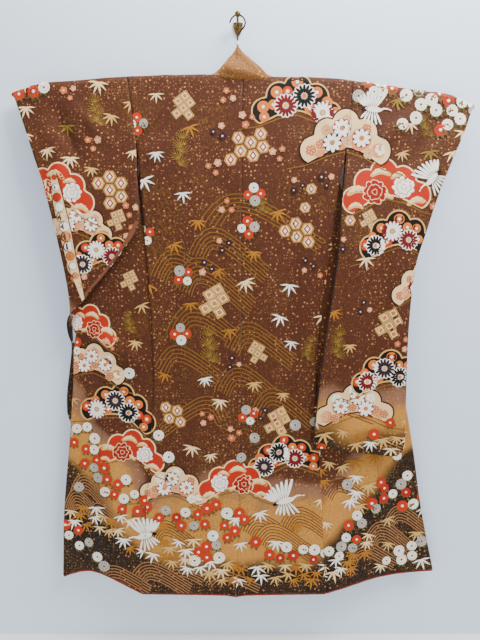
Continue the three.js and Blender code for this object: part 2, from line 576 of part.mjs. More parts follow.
// The wire: up from the grip, round the loop over the wall hook's arm, and down to its tip.
const GRIP_TOP = barPoint(HOOK_X).z + GRIP.height / 2;
const wirePath = [
  [HOOK_X, GRIP_TOP + 2 * SEAM], [HOOK_X, -100], [HOOK_X, -60], [HOOK_X, -34], [1, -18], [10, -7], [18, 2],
  [21.5, 12], [19, 23], [11, 31.5], [HOOK_X, HOOK_TOP], [-12, 31.5], [-20, 23], [-24, 13],
].map(([x, z]) => vector(x, BAR_Y, z));
furisode.add(rod('hanger_hook', wirePath, WIRE_RADIUS, 38, 7, material(COLOURS.wire, 0.4, 0.7)));

const FERRULE = { hole: WIRE_RADIUS + SEAM + 0.1, low: 4.8, high: 4, bottom: -49, top: -38 };
const ferrule = new THREE.Mesh(new THREE.LatheGeometry([
  new THREE.Vector2(FERRULE.hole, FERRULE.bottom), new THREE.Vector2(FERRULE.low, FERRULE.bottom),
  new THREE.Vector2(FERRULE.high, FERRULE.top), new THREE.Vector2(FERRULE.hole, FERRULE.top),
  new THREE.Vector2(FERRULE.hole, FERRULE.bottom),
], 16), material(COLOURS.white, 0.4));
ferrule.name = 'hanger_ferrule';
ferrule.rotation.x = Math.PI / 2;
ferrule.position.set(HOOK_X, BAR_Y, 0);
furisode.add(ferrule);

// ---- the wall hook ----

const wasm = await Module();
wasm.setup();

/** The solid of a mesh in its place. */
function solidOf(mesh) {
  mesh.updateMatrixWorld(true);
  let geometry = mesh.geometry.clone().applyMatrix4(mesh.matrixWorld);
  geometry.deleteAttribute('normal');
  geometry.deleteAttribute('uv');
  geometry = mergeVertices(geometry, 1e-3);
  return new wasm.Manifold(new wasm.Mesh({
    numProp: 3,
    vertProperties: geometry.attributes.position.array,
    triVerts: Uint32Array.from(geometry.index.array),
  }));
}

/** One mesh of several solids joined. */
function joined(name, meshes, finish) {
  const { vertProperties, triVerts } = meshes.map(solidOf).reduce((a, b) => a.add(b)).getMesh();
  const geometry = new THREE.BufferGeometry();
  geometry.setAttribute('position', new THREE.BufferAttribute(vertProperties, 3));
  geometry.setIndex(new THREE.BufferAttribute(triVerts, 1));
  geometry.computeVertexNormals();
  const mesh = new THREE.Mesh(geometry, finish);
  mesh.name = name;
  return mesh;
}

const PLATE = { half: 15, top: 26, waist: 10, tip: -14, thick: 3 };
const PEG_RADIUS = 3.2;
const BALL = { radius: 8.5, y: BAR_Y - 12, z: 31 };
const brass = material(COLOURS.brass, 0.35, 0.9);

const shield = new THREE.Shape();
shield.moveTo(-PLATE.half, PLATE.top).lineTo(-PLATE.half * 0.85, PLATE.waist)
  .quadraticCurveTo(-PLATE.half * 0.6, -4, 0, PLATE.tip)
  .quadraticCurveTo(PLATE.half * 0.6, -4, PLATE.half * 0.85, PLATE.waist)
  .lineTo(PLATE.half, PLATE.top).quadraticCurveTo(0, PLATE.top + 5, -PLATE.half, PLATE.top);
const plate = new THREE.Mesh(
  new THREE.ExtrudeGeometry(shield, { depth: PLATE.thick, bevelEnabled: false, curveSegments: 6 }), brass);
plate.rotation.x = Math.PI / 2;
const restZ = HOOK_TOP - WIRE_RADIUS - SEAM - PEG_RADIUS;
const peg = rod('peg', [
  vector(HOOK_X, -1.5, 9), vector(HOOK_X, -10, 13), vector(HOOK_X, -20, 24), vector(HOOK_X, BAR_Y, restZ),
  vector(HOOK_X, BALL.y, BALL.z),
], PEG_RADIUS, 14, 10, brass);
const ball = new THREE.Mesh(new THREE.SphereGeometry(BALL.radius, 16, 12), brass);
ball.position.set(HOOK_X, BALL.y, BALL.z);
furisode.add(joined('wall_hook', [plate, peg, ball], brass));

export default furisode;
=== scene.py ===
"""Furisode on its hanger: the silk shells, the dyed pattern, the hanger, the wall hook and the stage."""

import json
import math
import random

import bpy
import numpy as np
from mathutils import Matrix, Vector
from mathutils.bvhtree import BVHTree

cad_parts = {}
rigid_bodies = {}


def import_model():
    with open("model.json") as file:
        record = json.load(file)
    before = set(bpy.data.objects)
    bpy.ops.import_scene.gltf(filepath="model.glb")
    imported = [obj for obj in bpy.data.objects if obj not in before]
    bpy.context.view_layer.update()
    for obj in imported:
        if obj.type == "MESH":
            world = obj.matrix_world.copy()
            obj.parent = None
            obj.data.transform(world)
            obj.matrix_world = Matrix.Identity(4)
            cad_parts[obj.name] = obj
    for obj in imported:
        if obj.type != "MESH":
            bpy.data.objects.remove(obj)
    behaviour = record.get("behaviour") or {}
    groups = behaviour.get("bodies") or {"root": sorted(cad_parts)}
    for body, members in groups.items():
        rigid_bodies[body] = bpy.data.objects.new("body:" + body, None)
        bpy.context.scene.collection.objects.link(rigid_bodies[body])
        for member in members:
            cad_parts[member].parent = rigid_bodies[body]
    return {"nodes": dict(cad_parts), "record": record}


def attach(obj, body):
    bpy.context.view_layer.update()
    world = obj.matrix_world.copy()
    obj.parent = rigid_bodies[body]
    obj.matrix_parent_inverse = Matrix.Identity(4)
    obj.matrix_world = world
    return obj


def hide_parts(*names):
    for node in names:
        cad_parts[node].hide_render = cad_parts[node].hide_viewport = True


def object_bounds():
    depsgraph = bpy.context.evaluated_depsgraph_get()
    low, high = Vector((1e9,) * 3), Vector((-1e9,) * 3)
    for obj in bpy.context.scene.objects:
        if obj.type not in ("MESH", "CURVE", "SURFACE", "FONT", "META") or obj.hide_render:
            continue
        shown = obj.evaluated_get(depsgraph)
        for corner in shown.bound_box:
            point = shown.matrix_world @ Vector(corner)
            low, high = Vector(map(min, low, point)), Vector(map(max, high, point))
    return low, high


bl_info = {
    "name": "Furisode on a kimono hanger",
    "version": (1, 0, 0),
    "blender": (4, 5, 0),
    "location": "View3D > Sidebar > Furisode",
    "description": "Builds the silk, pattern, hanger and stage of a hanging furisode",
    "category": "Object",
}

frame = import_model()
CAD_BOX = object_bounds()

# ---- cutter's sizes, in millimetres (MM brings them to metres) ----

MM = 0.001
SEAM = 0.3
COLLAR_WIDTH = 113
NECK_DROP = 23
NECK_HALF = 95
BODY_LENGTH = 1610
OKUMI_TOP = 230
OKUMI_START = 265
ARMHOLE = 205
COLLAR_END = 790
SLEEVE_LENGTH = 1110
SLEEVE_CORNER = 48
CUFF = 230
BAR_Y = -30
RIDGE = 12
QUARTER = RIDGE * math.pi / 2
HEM_ROLL = 2.4
HEM_PROBE = 4
PANEL_WIDTH = 330
LEFT, RIGHT = -1, 1
SIDES = {"left": LEFT, "right": RIGHT}


def table(names, *rows):
    """A table as one array for each named column."""
    return dict(zip(names.split(), np.array(rows, float).T))


def records(names, *rows):
    """A table as one dictionary for each row."""
    return [dict(zip(names.split(), row)) for row in rows]


# The top edge of the garment, from sleeve tip to sleeve tip.
SHOULDER = table(
    "x z",
    (-669, -183), (-577, -157), (-480, -149), (-368, -140), (-228, -134), (-82, -132),
    (108, -138), (272, -142), (384, -156), (534, -177), (628, -191), (700, -219),
)

# The side edges and the centre seam of the back, and how far the cloth hangs from the wall.
BACK = table(
    "z left centre right y",
    (-130, -326, 13, 339, -42), (-250, -311, 12, 330, -49), (-350, -298, 11, 320, -55),
    (-440, -290, 10, 301, -58), (-590, -281, 9, 287, -60), (-760, -270, 9, 264, -61),
    (-960, -262, 9, 245, -62), (-1060, -261, 9, 243, -62), (-1270, -277, 6, 255, -62),
    (-1500, -295, 2, 269, -62), (-1760, -316, -8, 286, -62),
)
HEM = table("u z", (0, -1757), (0.12, -1752), (1, -1747))

# A front: one row for each section, from the side seam round the roll to the front edge.
FRONT_COLUMNS = "h side_x side_z side_y roll_x roll_z edge_x edge_z edge_y"
FRONT = {
    RIGHT: table(
        FRONT_COLUMNS,
        (0, 339, -146, -30, 222, -141, 108, -138, -30),
        (19, 338, -158, -18, 224, -153, 110, -150, -18),
        (120, 329, -259, -25, 226, -256, 123, -250, -17),
        (205, 316, -345, -38, 240, -348, 142, -333, -17),
        (300, 297, -440, -50, 318, -462, 170, -424, -17),
        (450, 280, -593, -56, 430, -640, 232, -560, -17),
        (600, 262, -742, -58, 505, -765, 320, -688, -18),
        (700, 251, -840, -59, 520, -850, 392, -766, -20),
        (790, 243, -930, -59, 520, -918, 450, -836, -24),
        (870, 241, -1010, -59, 430, -985, 494, -932, -28),
        (1000, 240, -1140, -59, 400, -1128, 518, -1060, -30),
        (1200, 253, -1340, -59, 415, -1322, 561, -1275, -30),
        (1400, 266, -1540, -59, 425, -1518, 597, -1482, -28),
        (1610, 283, -1748, -59, 436, -1702, 644, -1690, -26),
    ),
    LEFT: table(
        FRONT_COLUMNS,
        (0, -326, -138, -30, -204, -133, -86, -132, -30),
        (19, -325, -150, -18, -205, -146, -90, -144, -18),
        (120, -313, -251, -25, -226, -250, -128, -234, -17),
        (205, -297, -337, -38, -256, -360, -170, -306, -17),
        (300, -286, -433, -50, -330, -470, -224, -390, -17),
        (450, -278, -583, -56, -470, -615, -306, -524, -18),
        (600, -268, -735, -58, -530, -730, -392, -656, -22),
        (700, -262, -836, -58, -542, -822, -438, -744, -27),
        (790, -258, -926, -59, -548, -894, -470, -826, -34),
        (870, -257, -1006, -59, -460, -960, -504, -912, -44),
        (1000, -257, -1136, -59, -400, -1110, -515, -1048, -45),
        (1200, -273, -1335, -59, -410, -1300, -537, -1262, -42),
        (1400, -290, -1537, -59, -435, -1500, -563, -1480, -38),
        (1610, -312, -1748, -59, -468, -1666, -577, -1706, -34),
    ),
}
OKUMI_SEAM = table("h share", (OKUMI_TOP, 0.955), (450, 0.82), (COLLAR_END, 0.655), (BODY_LENGTH, 0.6))

# A sleeve: one row for each section, its outer edge, inner edge and half the space inside it.
SLEEVE_COLUMNS = "h out_x out_z out_y in_x in_z in_y half"
SLEEVE = {
    RIGHT: table(
        SLEEVE_COLUMNS,
        (0, 700, -219, -30, 339.6, -146, -30, 0.2), (100, 664, -306, -40, 330.6, -246, -37.5, 11),
        (205, 622, -408, -52, 320.9, -351, -47, 9), (300, 592, -492, -60, 312, -446, -60, 8),
        (400, 562, -588, -66, 304, -546, -70, 7), (500, 534, -682, -70, 299, -646, -75, 7),
        (620, 521, -800, -72, 285, -766, -77, 7), (750, 516, -928, -72, 267, -896, -78, 7),
        (900, 517, -1078, -72, 250, -1045, -78, 7), (1110, 520, -1288, -72, 231, -1252, -78, 5),
    ),
    LEFT: table(
        SLEEVE_COLUMNS,
        (0, -669, -183, -30, -326.6, -138, -30, 0.2), (100, -631, -280, -40, -313.4, -238, -37.5, 11),
        (205, -597, -385, -52, -299.9, -343, -47, 9), (300, -572, -470, -60, -297, -438, -59, 6),
        (370, -559, -525, -63, -294, -510, -63, 5), (430, -548, -572, -65, -294, -572, -67, 4),
        (520, -532, -648, -68, -352, -662, -69, 3), (600, -519, -720, -68, -414, -736, -69, 2.6),
        (680, -511, -792, -64, -470, -802, -68, 2.4), (735, -515, -846, -46, -512, -846, -68, 2.4),
        (790, -521, -900, -22, -524, -896, -46, 2.4), (850, -528, -958, -12, -508, -952, -24, 2.4),
        (930, -540, -1036, -10, -440, -1040, -15, 2.6), (1010, -550, -1110, -10, -370, -1130, -14, 2.8),
        (1110, -551, -1210, -10, -325, -1230, -13, 2.4),
    ),
}

# Folds: a line across one part of the garment, its width, and its height towards the viewer.
FOLDS = records(
    "on x1 z1 x2 z2 wide high",
    ("sleeve_left", -585, -160, -455, -400, 20, -11),
    ("sleeve_left", -560, -160, -380, -330, 18, 9),
    ("sleeve_left", -520, -150, -370, -240, 14, -6),
    ("sleeve_left", -540, -330, -520, -440, 18, 6),
    ("sleeve_left", -535, -420, -476, -760, 26, 6),
    ("sleeve_left", -500, -160, -380, -200, 14, -3),
    ("sleeve_left", -610, -200, -560, -330, 16, 3),
    ("sleeve_left", -455, -300, -475, -620, 30, 3),
    ("sleeve_right", 610, -195, 500, -430, 22, -9),
    ("sleeve_right", 580, -185, 430, -330, 20, 8),
    ("sleeve_right", 540, -175, 400, -240, 15, -5),
    ("sleeve_right", 430, -420, 400, -1180, 34, -7),
    ("sleeve_right", 352, -480, 322, -1160, 30, 5),
    ("sleeve_right", 480, -560, 470, -1150, 26, 3),
    ("sleeve_right", 640, -230, 560, -420, 18, 3),
    ("back", -140, -420, -150, -1650, 45, 6),
    ("back", 165, -500, 150, -1250, 36, -7),
    ("back", 90, -700, 110, -1680, 45, 6),
    ("back", -215, -330, -285, -395, 20, 5),
    ("back", -228, -232, -318, -318, 13, 3.5),
    ("back", -232, -272, -318, -350, 11, -3),
    ("back", -190, -190, -300, -250, 12, 2.5),
    ("back", 235, -240, 322, -330, 16, 3),
    ("back", 250, -800, 215, -1300, 20, 2.5),
    ("back", -60, -300, -75, -900, 36, -2.5),
    ("back", -215, -900, -235, -1600, 24, -3),
    ("back", 205, -1350, 215, -1720, 24, 3),
    ("back", 30, -1150, 25, -1700, 28, -3),
    ("front_left", -430, -905, -300, -985, 26, 9),
    ("front_left", -400, -1150, -450, -1650, 34, 7),
    ("front_left", -330, -1060, -345, -1500, 22, -3),
    ("front_left", -480, -900, -330, -1060, 16, -3),
    ("front_right", 420, -1250, 470, -1650, 36, 8),
    ("front_right", 330, -1330, 345, -1680, 24, -4),
    ("front_right", 540, -1300, 590, -1640, 22, 3),
)


# ---- curves and surfaces ----


def along(rows, key, column, where):
    """The value of a column where the key column has the given value, on a smooth curve through the rows."""
    x, y = rows[key], rows[column]
    if x[0] > x[-1]:
        x, y = x[::-1], y[::-1]
    place = np.clip(where, x[0], x[-1])
    i = np.clip(np.searchsorted(x, place, side="right") - 1, 0, len(x) - 2)
    slope = np.empty(len(x))
    slope[1:-1] = (y[2:] - y[:-2]) / (x[2:] - x[:-2])
    slope[0] = (y[1] - y[0]) / (x[1] - x[0])
    slope[-1] = (y[-1] - y[-2]) / (x[-1] - x[-2])
    span = x[i + 1] - x[i]
    t = (place - x[i]) / span
    return ((2 * t**3 - 3 * t**2 + 1) * y[i] + (t**3 - 2 * t**2 + t) * span * slope[i]
            + (3 * t**2 - 2 * t**3) * y[i + 1] + (t**3 - t**2) * span * slope[i + 1])


def mix(a, b, t):
    return a + (b - a) * t


def ease(low, high, value):
    t = np.clip((value - low) / (high - low), 0, 1)
    return t * t * (3 - 2 * t)


def points(x, y, z):
    return np.stack(np.broadcast_arrays(np.asarray(x, float), y, z), axis=-1)


def unit(v):
    return v / np.maximum(np.linalg.norm(v, axis=-1, keepdims=True), 1e-9)


def fold_height(on, x, z):
    """How far the folds of one part of the garment push its cloth towards the viewer."""
    height = np.zeros(np.shape(x))
    for fold in FOLDS:
        if fold["on"] != on:
            continue
        dx, dz = fold["x2"] - fold["x1"], fold["z2"] - fold["z1"]
        t = np.clip(((x - fold["x1"]) * dx + (z - fold["z1"]) * dz) / (dx * dx + dz * dz), 0, 1)
        away = np.hypot(x - fold["x1"] - t * dx, z - fold["z1"] - t * dz)
        height += fold["high"] * np.exp(-((away / fold["wide"]) ** 2)) * np.sin(math.pi * mix(0.15, 0.9, t))
    return height


def over_bar(x, top, face, d, radius):
    """A point of cloth that turns over the bar, to the viewer's side (face -1) or the wall's side (1)."""
    turn = d / RIDGE
    return points(x, BAR_Y + face * (SEAM / 2 + radius * np.sin(turn)), top - RIDGE * (1 - np.cos(turn)))


def back_point(side, u, h):
    """A point of the back: u runs from the centre seam to a side edge, h down the cloth."""
    edge = "left" if side == LEFT else "right"
    x0 = mix(BACK["centre"][0], BACK[edge][0], u)
    shoulder = along(SHOULDER, "x", "z", x0)
    share = np.clip(np.abs(x0 - BACK["centre"][0]) / NECK_HALF, 0, 1)
    neck = NECK_DROP * (1 - share**3.5)
    full = shoulder - along(HEM, "u", "z", u) - RIDGE + QUARTER
    d = neck + h / BODY_LENGTH * (full - neck)
    z = shoulder - RIDGE - (d - QUARTER)
    x = mix(along(BACK, "z", "centre", z), along(BACK, "z", edge, z), u)
    fade = ease(0, 0.12, 1 - u) * ease(20, 160, d)
    hanging = points(x, along(BACK, "z", "y", z) - fade * fold_height("back", x, z), z)
    turning = over_bar(x0, shoulder, -1, np.minimum(d, QUARTER), RIDGE)
    return np.where((d < QUARTER)[..., None], turning, hanging)


def front_point(side, share, h):
    """A point of a front and its overlap panel: share runs from the side seam to the front edge."""
    share, h = np.broadcast_arrays(np.asarray(share, float), np.asarray(h, float))
    result = np.empty(h.shape + (3,))
    t = np.linspace(0, 1, 201)[:, None]
    weights = [(1 - t) ** 3, 3 * t * (1 - t) ** 2, 3 * t * t * (1 - t), t**3]
    for value in np.unique(h):
        row = {name: along(FRONT[side], "h", name, value) for name in FRONT_COLUMNS.split()[1:]}
        corners = [
            (row["side_x"], row["side_y"], row["side_z"]), (row["roll_x"], row["side_y"], row["roll_z"]),
            (row["roll_x"], row["edge_y"], row["roll_z"]), (row["edge_x"], row["edge_y"], row["edge_z"]),
        ]
        curve = sum(w * np.array(corner) for w, corner in zip(weights, corners))
        length = np.concatenate([[0], np.cumsum(np.linalg.norm(np.diff(curve, axis=0), axis=1))])
        here = h == value
        place = np.clip(share[here], 0, 1) * length[-1]
        result[here] = np.stack([np.interp(place, length, curve[:, i]) for i in range(3)], axis=-1)
    fade = ease(0, 0.15, share) * ease(0, 0.1, 1 - share)
    on = "front_left" if side == LEFT else "front_right"
    bent = result.copy()
    bent[..., 1] -= fade * fold_height(on, result[..., 0], result[..., 2])
    top = along(SHOULDER, "x", "z", result[..., 0])
    turning = over_bar(result[..., 0], top, 1, np.minimum(h, QUARTER), RIDGE)
    return np.where((h < QUARTER)[..., None], turning, bent)


def okumi_seam(h):
    """The share of a section where the overlap panel's seam runs."""
    low = along(OKUMI_SEAM, "h", "share", h)
    high = mix(1, along(OKUMI_SEAM, "h", "share", OKUMI_START), ease(ARMHOLE, OKUMI_START, h))
    return np.where(h >= OKUMI_START, low, high)


# Where the left sleeve's folded part begins, down its length: its folds fade out there.
FOLDED_FROM = (620, 720)


def sleeve_middle(side, u, h):
    """The middle of a sleeve, between its layers: u runs from the outer edge to the inner edge."""
    rows = SLEEVE[side]
    top_x = mix(rows["out_x"][0], rows["in_x"][0], u)
    top_z = along(SHOULDER, "x", "z", top_x)
    width = np.abs(along(rows, "h", "out_x", h) - along(rows, "h", "in_x", h))
    inset = SLEEVE_CORNER - np.minimum(u * width, SLEEVE_CORNER)
    corner = SLEEVE_CORNER - np.sqrt(SLEEVE_CORNER**2 - inset**2)
    below = h - corner * ease(SLEEVE_LENGTH - 250, SLEEVE_LENGTH, h)
    x, y, z = (mix(along(rows, "h", "out_" + c, below), along(rows, "h", "in_" + c, below), u) for c in "xyz")
    straight = mix(rows["out_z"][0], rows["in_z"][0], u)
    z = z + (1 - ease(0, ARMHOLE, h)) * (top_z - straight)
    loose = 1 - ease(*FOLDED_FROM, h) if side == LEFT else 1
    reach = ease(30, 160, h) * ease(0, 0.1, u) * ease(0, 0.12, 1 - u) * loose
    return points(x, y - reach * fold_height("sleeve_left" if side == LEFT else "sleeve_right", x, z), z)


def tip_radius(side, u):
    """Half the space at the top of a sleeve: the bar's width over the bar, less in the tip beyond it."""
    width = abs(SLEEVE[side]["out_x"][0] - SLEEVE[side]["in_x"][0])
    return mix(5, RIDGE, ease(15, 70, u * width))


SEWN_SHARE = 0.16


def sleeve_half(side, u, h):
    """Half the space between a sleeve's layers, and none at the sewn edges."""
    shut = 1 + SEAM / 2 + 0.05
    open_half = along(SLEEVE[side], "h", "half", np.maximum(h, 100))
    space = mix(tip_radius(side, u), open_half, ease(QUARTER, 100, h))
    outer = ease(CUFF - 30, CUFF + 40, h) * (1 - ease(0, SEWN_SHARE, u))
    bottom = ease(SLEEVE_LENGTH - 90, SLEEVE_LENGTH, h)
    return mix(space, shut, np.maximum(outer, bottom))


PROBE_SHARE = 0.002
PROBE_LENGTH = 0.4


def square_to(point, u, v, reach_u, reach_v):
    """The direction square to a surface."""
    step = (reach_u[1] - reach_u[0]) * PROBE_SHARE
    along_u = point(np.minimum(u + step, reach_u[1]), v) - point(np.maximum(u - step, reach_u[0]), v)
    low, high = np.maximum(v - PROBE_LENGTH, reach_v[0]), np.minimum(v + PROBE_LENGTH, reach_v[1])
    return unit(np.cross(along_u, point(u, high) - point(u, low)))


def facing(point, columns, length):
    """The direction square to a shell, as a function of its column and its length."""
    reach = (columns[0], columns[-1])
    return lambda u, v: square_to(point, u, v, reach, (0, length))


def sleeve_point(side, face, u, h):
    """A point of one layer of a sleeve: face is -1 for the viewer's layer, 1 for the wall's."""
    low = np.maximum(h, QUARTER)
    away = square_to(lambda a, b: sleeve_middle(side, a, b), u, low, (0, 1), (QUARTER, SLEEVE_LENGTH))
    away = away * (-side)
    point = sleeve_middle(side, u, low)
    top = sleeve_middle(side, u, np.zeros(np.shape(h)))
    point[..., 2] = mix(top[..., 2] - RIDGE - (low - QUARTER), point[..., 2], ease(QUARTER, ARMHOLE, low))
    hanging = point + away * (face * sleeve_half(side, u, low))[..., None]
    turning = over_bar(top[..., 0], top[..., 2], face, np.minimum(h, QUARTER), tip_radius(side, u))
    return np.where((h < QUARTER)[..., None], turning, hanging)


NECK_SHARE = NECK_HALF / (BACK["right"][0] - BACK["centre"][0])
COLLAR_PEAK = np.array([-1.0, -36, -50])
COLLAR_SHOULDER = {LEFT: np.array([-27.0, -27, -82]), RIGHT: np.array([31.0, -27, -80])}
COLLAR_LIFT = 22
COLLAR_GAP = 0.6
COLLAR_BULGE = 11
COLLAR_CREASE = 3
COLLAR_PROBE = 30


def bend(start, lift, free, w):
    """A point of a quadratic curve, for each row."""
    w = w[..., None]
    return (1 - w) ** 2 * start + 2 * w * (1 - w) * lift + w * w * free


def collar_neck_point(side, s, w):
    """A point of the collar round the back of the neck: s runs from the centre to the shoulder."""
    zero = np.zeros(s.shape)
    seam = back_point(side, s * NECK_SHARE, zero)
    edge = unit(back_point(side, np.minimum(s + 0.02, 1) * NECK_SHARE, zero)
                - back_point(side, np.maximum(s - 0.02, 0) * NECK_SHARE, zero))
    down = unit(back_point(side, s * NECK_SHARE, zero + 3) - seam)
    onward = unit(edge * (edge * down).sum(-1, keepdims=True) - down)
    onward = unit(mix(onward, np.array([-side, 0, 0.0]), ease(0.8, 1, s)[..., None]))
    t = s**1.4
    free = mix(COLLAR_PEAK, COLLAR_SHOULDER[side], t[..., None])
    free[..., 2] -= 5 * np.sin(math.pi * t)
    start = seam + onward * COLLAR_GAP
    point = bend(start, start + onward * COLLAR_LIFT, free, w)
    bulge = COLLAR_BULGE * np.sin(math.pi * w**0.8) ** 2
    crease = COLLAR_CREASE * np.sin(math.pi * w) * np.sin(7 * w + 4 * side * s)
    point[..., 1] -= (bulge + crease) * (1 - s**3)
    return point


def collar_front_point(side, h, w):
    """A point of the collar down a front: h is its length below the shoulder."""
    one = np.ones(h.shape)
    seam = front_point(side, one, h)
    onward = unit(seam - front_point(side, one * 0.995, h))
    above, below = np.maximum(h - COLLAR_PROBE, 0), np.minimum(h + COLLAR_PROBE, COLLAR_END)
    edge = unit(front_point(side, one, below) - front_point(side, one, above))
    inward = points(side * edge[..., 2], 0, -side * edge[..., 0])
    low = seam + inward * COLLAR_WIDTH
    low[..., 1] = np.maximum(seam[..., 1], -20) + 4
    free = mix(COLLAR_SHOULDER[side], low, ease(0, 120, h)[..., None])
    free[..., 1] = mix(COLLAR_SHOULDER[side][1], low[..., 1], ease(0, 40, h))
    apart = unit(inward)
    onward = unit(mix(onward, apart, 0.5 * ease(60, 200, h)[..., None]))
    apart = unit(mix(onward, apart, ease(0, 60, h)[..., None]))
    start = seam + apart * COLLAR_GAP
    return bend(start, start + onward * COLLAR_LIFT, free, w)


def collar_point(w, s):
    """A point of the whole collar: s runs from the left end (-2) over the neck (0) to the right end (2)."""
    result = np.empty(s.shape + (3,))
    for side in (LEFT, RIGHT):
        for neck in (True, False):
            here = ((s < 0) if side == LEFT else (s >= 0)) & ((np.abs(s) <= 1) == neck)
            place = np.abs(s[here])
            if neck:
                result[here] = collar_neck_point(side, place, w[here])
            else:
                result[here] = collar_front_point(side, (place - 1) * COLLAR_END, w[here])
    return result


def ripple(x, z):
    """The slight unevenness of hanging silk, in millimetres."""
    return (0.55 * np.sin(x / 17 + 1.7 * np.sin(z / 160)) * np.sin(z / 230 + 1.1)
            + 0.35 * np.sin(x / 9.5 - z / 75 + 0.6) * np.sin(z / 95 + x / 60)
            + 0.3 * np.sin(z / 31 + x / 47) * np.sin(x / 38 + 2))


# ---- shells ----


def new_object(name, data):
    """An object with the given data, in the scene."""
    made = bpy.data.objects.new(name, data)
    bpy.context.scene.collection.objects.link(made)
    return made


def shell(name, columns, rows, point, square, printed, finishes, thick, grain=1.0):
    """A thin closed sheet of cloth. printed is the side of its square direction that has the first finish."""
    u, v = np.meshgrid(np.asarray(columns, float), np.asarray(rows, float))
    middle = point(u, v)
    away = square(u, v)
    middle = middle + away * (grain * ripple(middle[..., 0], middle[..., 2]))[..., None]
    count = u.size
    wide = len(columns)
    half = away * (printed * thick / 2)
    co = np.concatenate([(middle + half).reshape(-1, 3), (middle - half).reshape(-1, 3)]) * MM
    i, j = np.meshgrid(np.arange(len(rows) - 1), np.arange(wide - 1), indexing="ij")
    a = (i * wide + j).ravel()
    quads = np.stack([a, a + 1, a + wide + 1, a + wide], axis=1)
    if printed < 0:
        quads = quads[:, ::-1]
    rim = list(range(wide)) + [r * wide + wide - 1 for r in range(1, len(rows))]
    rim += [(len(rows) - 1) * wide + c for c in range(wide - 2, -1, -1)]
    rim += [r * wide for r in range(len(rows) - 2, 0, -1)]
    following = rim[1:] + rim[:1]
    walls = [(p, p + count, q + count, q) if printed > 0 else (q, q + count, p + count, p)
             for p, q in zip(rim, following)]
    faces = [tuple(q) for q in quads] + [tuple(q + count)[::-1] for q in quads] + walls
    mesh = bpy.data.meshes.new(name)
    mesh.from_pydata(co.tolist(), [], [tuple(int(k) for k in f) for f in faces])
    for finish in finishes:
        mesh.materials.append(finish)
    sheet = len(quads)
    index = np.zeros(len(faces), int)
    index[sheet:2 * sheet] = len(finishes) - 1
    mesh.polygons.foreach_set("material_index", index)
    smooth = np.ones(len(faces), bool)
    smooth[2 * sheet:] = False
    mesh.polygons.foreach_set("use_smooth", smooth)
    mesh.update()
    piece = new_object(name, mesh)
    piece["outer_faces"] = sheet
    return piece


def settle(piece, node):
    """Puts a piece on the garment's body in place of its solid."""
    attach(piece, "root")
    if node:
        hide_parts(node)
    return piece


def even(start, stop, step):
    """Evenly spaced values, about a step apart, from start to stop."""
    return np.linspace(start, stop, max(2, round(abs(stop - start) / step) + 1))


def cloth_rows(start, stop, step):
    """Rows down the cloth, closer where it turns over the bar."""
    return np.concatenate([np.linspace(start, QUARTER, 9)[:-1], even(QUARTER, stop, step)])


# ---- materials ----


class Nodes:
    """Short calls that add and join nodes of one tree."""

    def __init__(self, tree):
        self.tree = tree

    def add(self, kind, settings=None, **inputs):
        node = self.tree.nodes.new(kind)
        for key, value in (settings or {}).items():
            setattr(node, key, value)
        for key, value in inputs.items():
            self.put(node.inputs[key.replace("_", " ")], value)
        return node

    def put(self, socket, value):
        if isinstance(value, bpy.types.NodeSocket):
            self.tree.links.new(value, socket)
        else:
            socket.default_value = value

    def math(self, operation, a, b=0.0):
        node = self.tree.nodes.new("ShaderNodeMath")
        node.operation = operation
        self.put(node.inputs[0], a)
        self.put(node.inputs[1], b)
        return node.outputs[0]

    def blend(self, factor, a, b):
        node = self.tree.nodes.new("ShaderNodeMix")
        node.data_type = "RGBA"
        self.put(node.inputs["Factor"], factor)
        self.put(node.inputs[6], a)
        self.put(node.inputs[7], b)
        return node.outputs[2]

    def ramp(self, value, low, high):
        node = self.tree.nodes.new("ShaderNodeMapRange")
        node.interpolation_type = "SMOOTHSTEP"
        for i, v in enumerate((value, low, high)):
            self.put(node.inputs[i], v)
        return node.outputs[0]

    def noise(self, where, scale, detail=2.0, rough=0.5):
        node = self.add("ShaderNodeTexNoise", Vector=where, Scale=scale, Detail=detail, Roughness=rough)
        return node.outputs["Fac"]

    def place(self):
        return self.add("ShaderNodeTexCoord").outputs["Object"]


def colour(rgb):
    """An sRGB colour, 0 to 255, as Blender's linear one."""
    return tuple(((c / 255 + 0.055) / 1.055) ** 2.4 if c > 10 else c / 255 / 12.92 for c in rgb) + (1.0,)


SILK_GRAIN = 620.0
LINING_GRAIN = 700.0


def new_group(name, inputs, outputs):
    """An empty shader node group with named sockets."""
    group = bpy.data.node_groups.new(name, "ShaderNodeTree")
    for label, kind, default in inputs:
        socket = group.interface.new_socket(label, in_out="INPUT", socket_type="NodeSocket" + kind)
        socket.default_value = default
    for label, kind in outputs:
        group.interface.new_socket(label, in_out="OUTPUT", socket_type="NodeSocket" + kind)
    nodes = Nodes(group)
    return group, nodes, nodes.add("NodeGroupInput"), nodes.add("NodeGroupOutput")


# How strongly the yarn shades the dye, and the least roughness of the silk and what the yarn adds to it.
YARN_SHADE = 0.22
SILK_ROUGHNESS = 0.62
YARN_ROUGHNESS = 0.22


